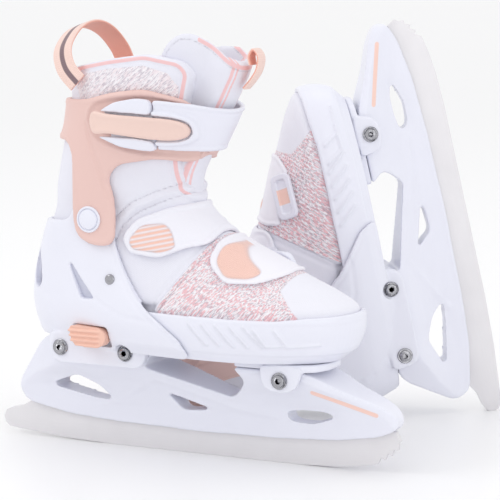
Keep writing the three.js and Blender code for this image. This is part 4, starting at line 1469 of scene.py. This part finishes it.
    def loop(self, name: str, node: str, points: Sequence[Sequence[float]], width: float, hint: Vector,
             striped: float, outward: Callable[[Vector], Vector]) -> Piece:
        """A pull loop of flat tape along a smooth line.

        Args:
            name: the piece's name.
            node: the node it stands for.
            points: where the tape's middle runs.
            width: width of the tape, mm.
            hint: the direction its width keeps close to.
            striped: 1 if the tape has a dark stripe.
            outward: for a point of the line, a direction that its outer face looks along.

        Returns:
            The piece.
        """
        line = smooth_line([Vector(p) for p in points], 8)
        bm = bmesh.new()
        across_layer = bm.verts.layers.float.new("across")
        along_layer = bm.verts.layers.float.new("along")
        outer_layer = bm.verts.layers.float.new("outer")
        rings, travelled = [], 0.0
        for i, here in enumerate(line):
            ahead = line[min(i + 1, len(line) - 1)] - line[max(i - 1, 0)]
            ahead.normalize()
            across = (hint - ahead * hint.dot(ahead)).normalized()
            out = ahead.cross(across)
            if out.dot(outward(here)) < 0:
                out = -out
            travelled += (here - line[i - 1]).length if i else 0.0
            ring = []
            for u, v in ((-1, -1), (0, -1.15), (1, -1), (1.04, 0), (1, 1), (0, 1.15), (-1, 1), (-1.04, 0)):
                vert = bm.verts.new(here + across * u * width / 2 + out * v * 0.8)
                vert[across_layer] = u * width / 2
                vert[along_layer] = travelled
                vert[outer_layer] = (v + 1) / 2
                ring.append(vert)
            rings.append(ring)
        for ring in rings[:1] + rings[-1:]:
            bm.faces.new(ring)
        edges = [[bm.edges.get(pair) or bm.edges.new(pair) for pair in zip(ring, ring[1:] + ring[:1])]
                 for ring in rings]
        for low, high in zip(edges, edges[1:]):
            bmesh.ops.bridge_loops(bm, edges=low + high)
        stock = Stock(bm)
        stock.bevelled(0.15)
        mesh = stock.mesh()
        mark(mesh, "striped", np.full(len(mesh.vertices), striped))
        return Piece(name, mesh, TAPE, "webbing", Ride("cuff"), (node,))

    def pieces(self) -> list[Piece]:
        """All the soft boot's pieces."""
        mid = self.strap(
            "instep_strap", "mid_strap",
            [(-34, 141), (-29, 131), (-8, 128.5), (9, 135.5), (23, 138), (25, 147),
             (12, 163), (-4, 160), (-25, 152)],
            [(-29, 139), (-26, 133.5), (-7, 132), (3, 135.5), (-2, 146), (-7, 150), (-21, 148.5)], MID_STRAP,
            Ride("frame", "mid_strap", (16, 6, 150), (14, -8, 146)),
        )
        front = self.strap(
            "toe_strap", "front_strap",
            [(24.5, 127), (37, 115.5), (56, 115.5), (73, 121), (66, 131), (36, 147), (26, 142)],
            [(29, 128), (37, 119), (52, 118.5), (58, 122), (48, 129), (38, 139), (30, 138)], FRONT_STRAP,
            Ride("toe", "front_strap", (50, 6, 133), (47, -8, 128)),
        )
        heel_line = [(-61, -38.4, 236), (-70, -37, 245), (-75, -32, 256), (-76, -20, 266), (-75, -7, 271),
                     (-74, 7, 271), (-72, 20, 266), (-70, 32, 256), (-67, 37, 245), (-60, 38.4, 236)]
        tongue_line = [(36.5, 0, 233), (41.5, 0, 238.5), (45.5, 0, 245), (46.5, 0, 252.5), (43, 0, 257),
                       (40, 0, 253), (41, 0, 247.5)]
        return [
            self.liner(), self.tongue(), self.vamp(), mid, front,
            self.ring("instep_ring", "mid_strap_anchor", (-4, 141), 0.0, Ride("frame")),
            self.ring("toe_ring", "front_strap_anchor", (43, 121), 0.0, Ride("toe")),
            self.loop("back_loop", "heel_loop", heel_line, 13, Vector((1, 0, 0.35)), 1.0,
                      lambda here: Vector((0, here.y, here.z - 245))),
            self.loop("pull_tab", "tongue_loop", tongue_line, 9, Vector((0, 1, 0)), 0.0,
                      lambda here: Vector((here.x - 42, 0, here.z - 248))),
        ]


def smooth_line(points: list[Vector], steps: int) -> list[Vector]:
    """A smooth line through points, with the given steps between each two."""
    line = []
    for i in range(len(points) - 1):
        p0, p1, p2 = points[max(i - 1, 0)], points[i], points[i + 1]
        p3 = points[min(i + 2, len(points) - 1)]
        for k in range(steps):
            t = k / steps
            line.append(0.5 * (2 * p1 + (p2 - p0) * t + (2 * p0 - 5 * p1 + 4 * p2 - p3) * t * t
                               + (3 * p1 - p0 - 3 * p2 + p3) * t ** 3))
    return line + [points[-1].copy()]


# ---- studio ------------------------------------------------------------------------------------


@dataclass
class Studio:
    """Pale floor, soft lights and the camera."""

    target: tuple[float, float, float] = (39.0, 0.0, 132.6)
    azimuth: float = 25.2
    elevation: float = 7.6
    distance: float = 1267.0
    lens: float = 146.6

    def build(self, stand: Stand) -> None:
        """Set up the studio round the standing skate."""
        self.floor()
        self.lights()
        self.camera(stand)

    def floor(self) -> None:
        """A wide plain floor."""
        bm = bmesh.new()
        bmesh.ops.create_grid(bm, x_segments=2, y_segments=2, size=30)
        mesh = bpy.data.meshes.new("studio_floor")
        bm.to_mesh(mesh)
        bm.free()
        floor = bpy.data.objects.new("studio_floor", mesh)
        bpy.context.scene.collection.objects.link(floor)
        shader = Shader("floor_paper")
        mesh.materials.append(shader.finish((0.93, 0.93, 0.94), 0.35))

    def lights(self) -> None:
        """A white surround and three large soft lights."""
        world = bpy.data.worlds.new("surround")
        world.use_nodes = True
        world.node_tree.nodes["Background"].inputs[0].default_value = (1, 1, 1, 1)
        world.node_tree.nodes["Background"].inputs[1].default_value = 0.98
        bpy.context.scene.view_settings.view_transform = "Standard"
        bpy.context.scene.world = world
        for name, place, size, power in (
            ("key", (-1.2, -1.0, 1.5), 0.9, 5.5),
            ("fill", (1.6, -1.1, 0.5), 1.3, 4.2),
            ("top", (0.2, 0.2, 2.2), 1.4, 2.6),
        ):
            light = bpy.data.lights.new(name, "AREA")
            light.size = size
            light.energy = power
            lamp = bpy.data.objects.new(name, light)
            lamp.location = place
            lamp.rotation_euler = (Vector((0, 0, 0.12)) - Vector(place)).to_track_quat("-Z", "Y").to_euler()
            bpy.context.scene.collection.objects.link(lamp)

    def camera(self, stand: Stand) -> None:
        """The camera, aimed at a point of the standing skate."""
        a, e = math.radians(self.azimuth), math.radians(self.elevation)
        back = Vector((math.sin(a) * math.cos(e), -math.cos(a) * math.cos(e), math.sin(e)))
        target = stand.at(*self.target)
        data = bpy.data.cameras.new("camera")
        data.lens = self.lens
        data.sensor_width = 36
        data.clip_end = 100
        camera = bpy.data.objects.new("camera", data)
        camera.location = target + back * self.distance * MM
        camera.rotation_euler = back.to_track_quat("Z", "Y").to_euler()
        bpy.context.scene.collection.objects.link(camera)
        bpy.context.scene.camera = camera


# ---- the pair ----------------------------------------------------------------------------------


def dress_hidden(stands: Sequence[Stand], palette: Palette) -> None:
    """Give the nodes that keep their own shape their finishes."""
    finishes = {"button_spring": SPRING_WIRE, "strap_rivet": RIVET_METAL, "insole": INSOLE_FELT}
    for stand in stands:
        for node, finish in finishes.items():
            piece = frame["nodes"][stand.body(node)]
            piece.data.materials.clear()
            piece.data.materials.append(palette.of(finish))


def main() -> None:
    """Build both skates and the studio."""
    stands = [Stand(Side.RIGHT), Stand(Side.LEFT)]
    palette = Palette()
    Studio().build(stands[0])
    for maker in (Runner(), HardBoot(), Buckle(), SoftBoot()):
        for piece in maker.pieces():
            for stand in stands:
                piece.place(stand, palette)
            log.info("%s: %d faces", piece.name, len(piece.mesh.polygons))
    dress_hidden(stands, palette)


if __name__ == "__main__":
    logging.basicConfig(level=logging.INFO, format="%(relativeCreated)d %(message)s")
    main()
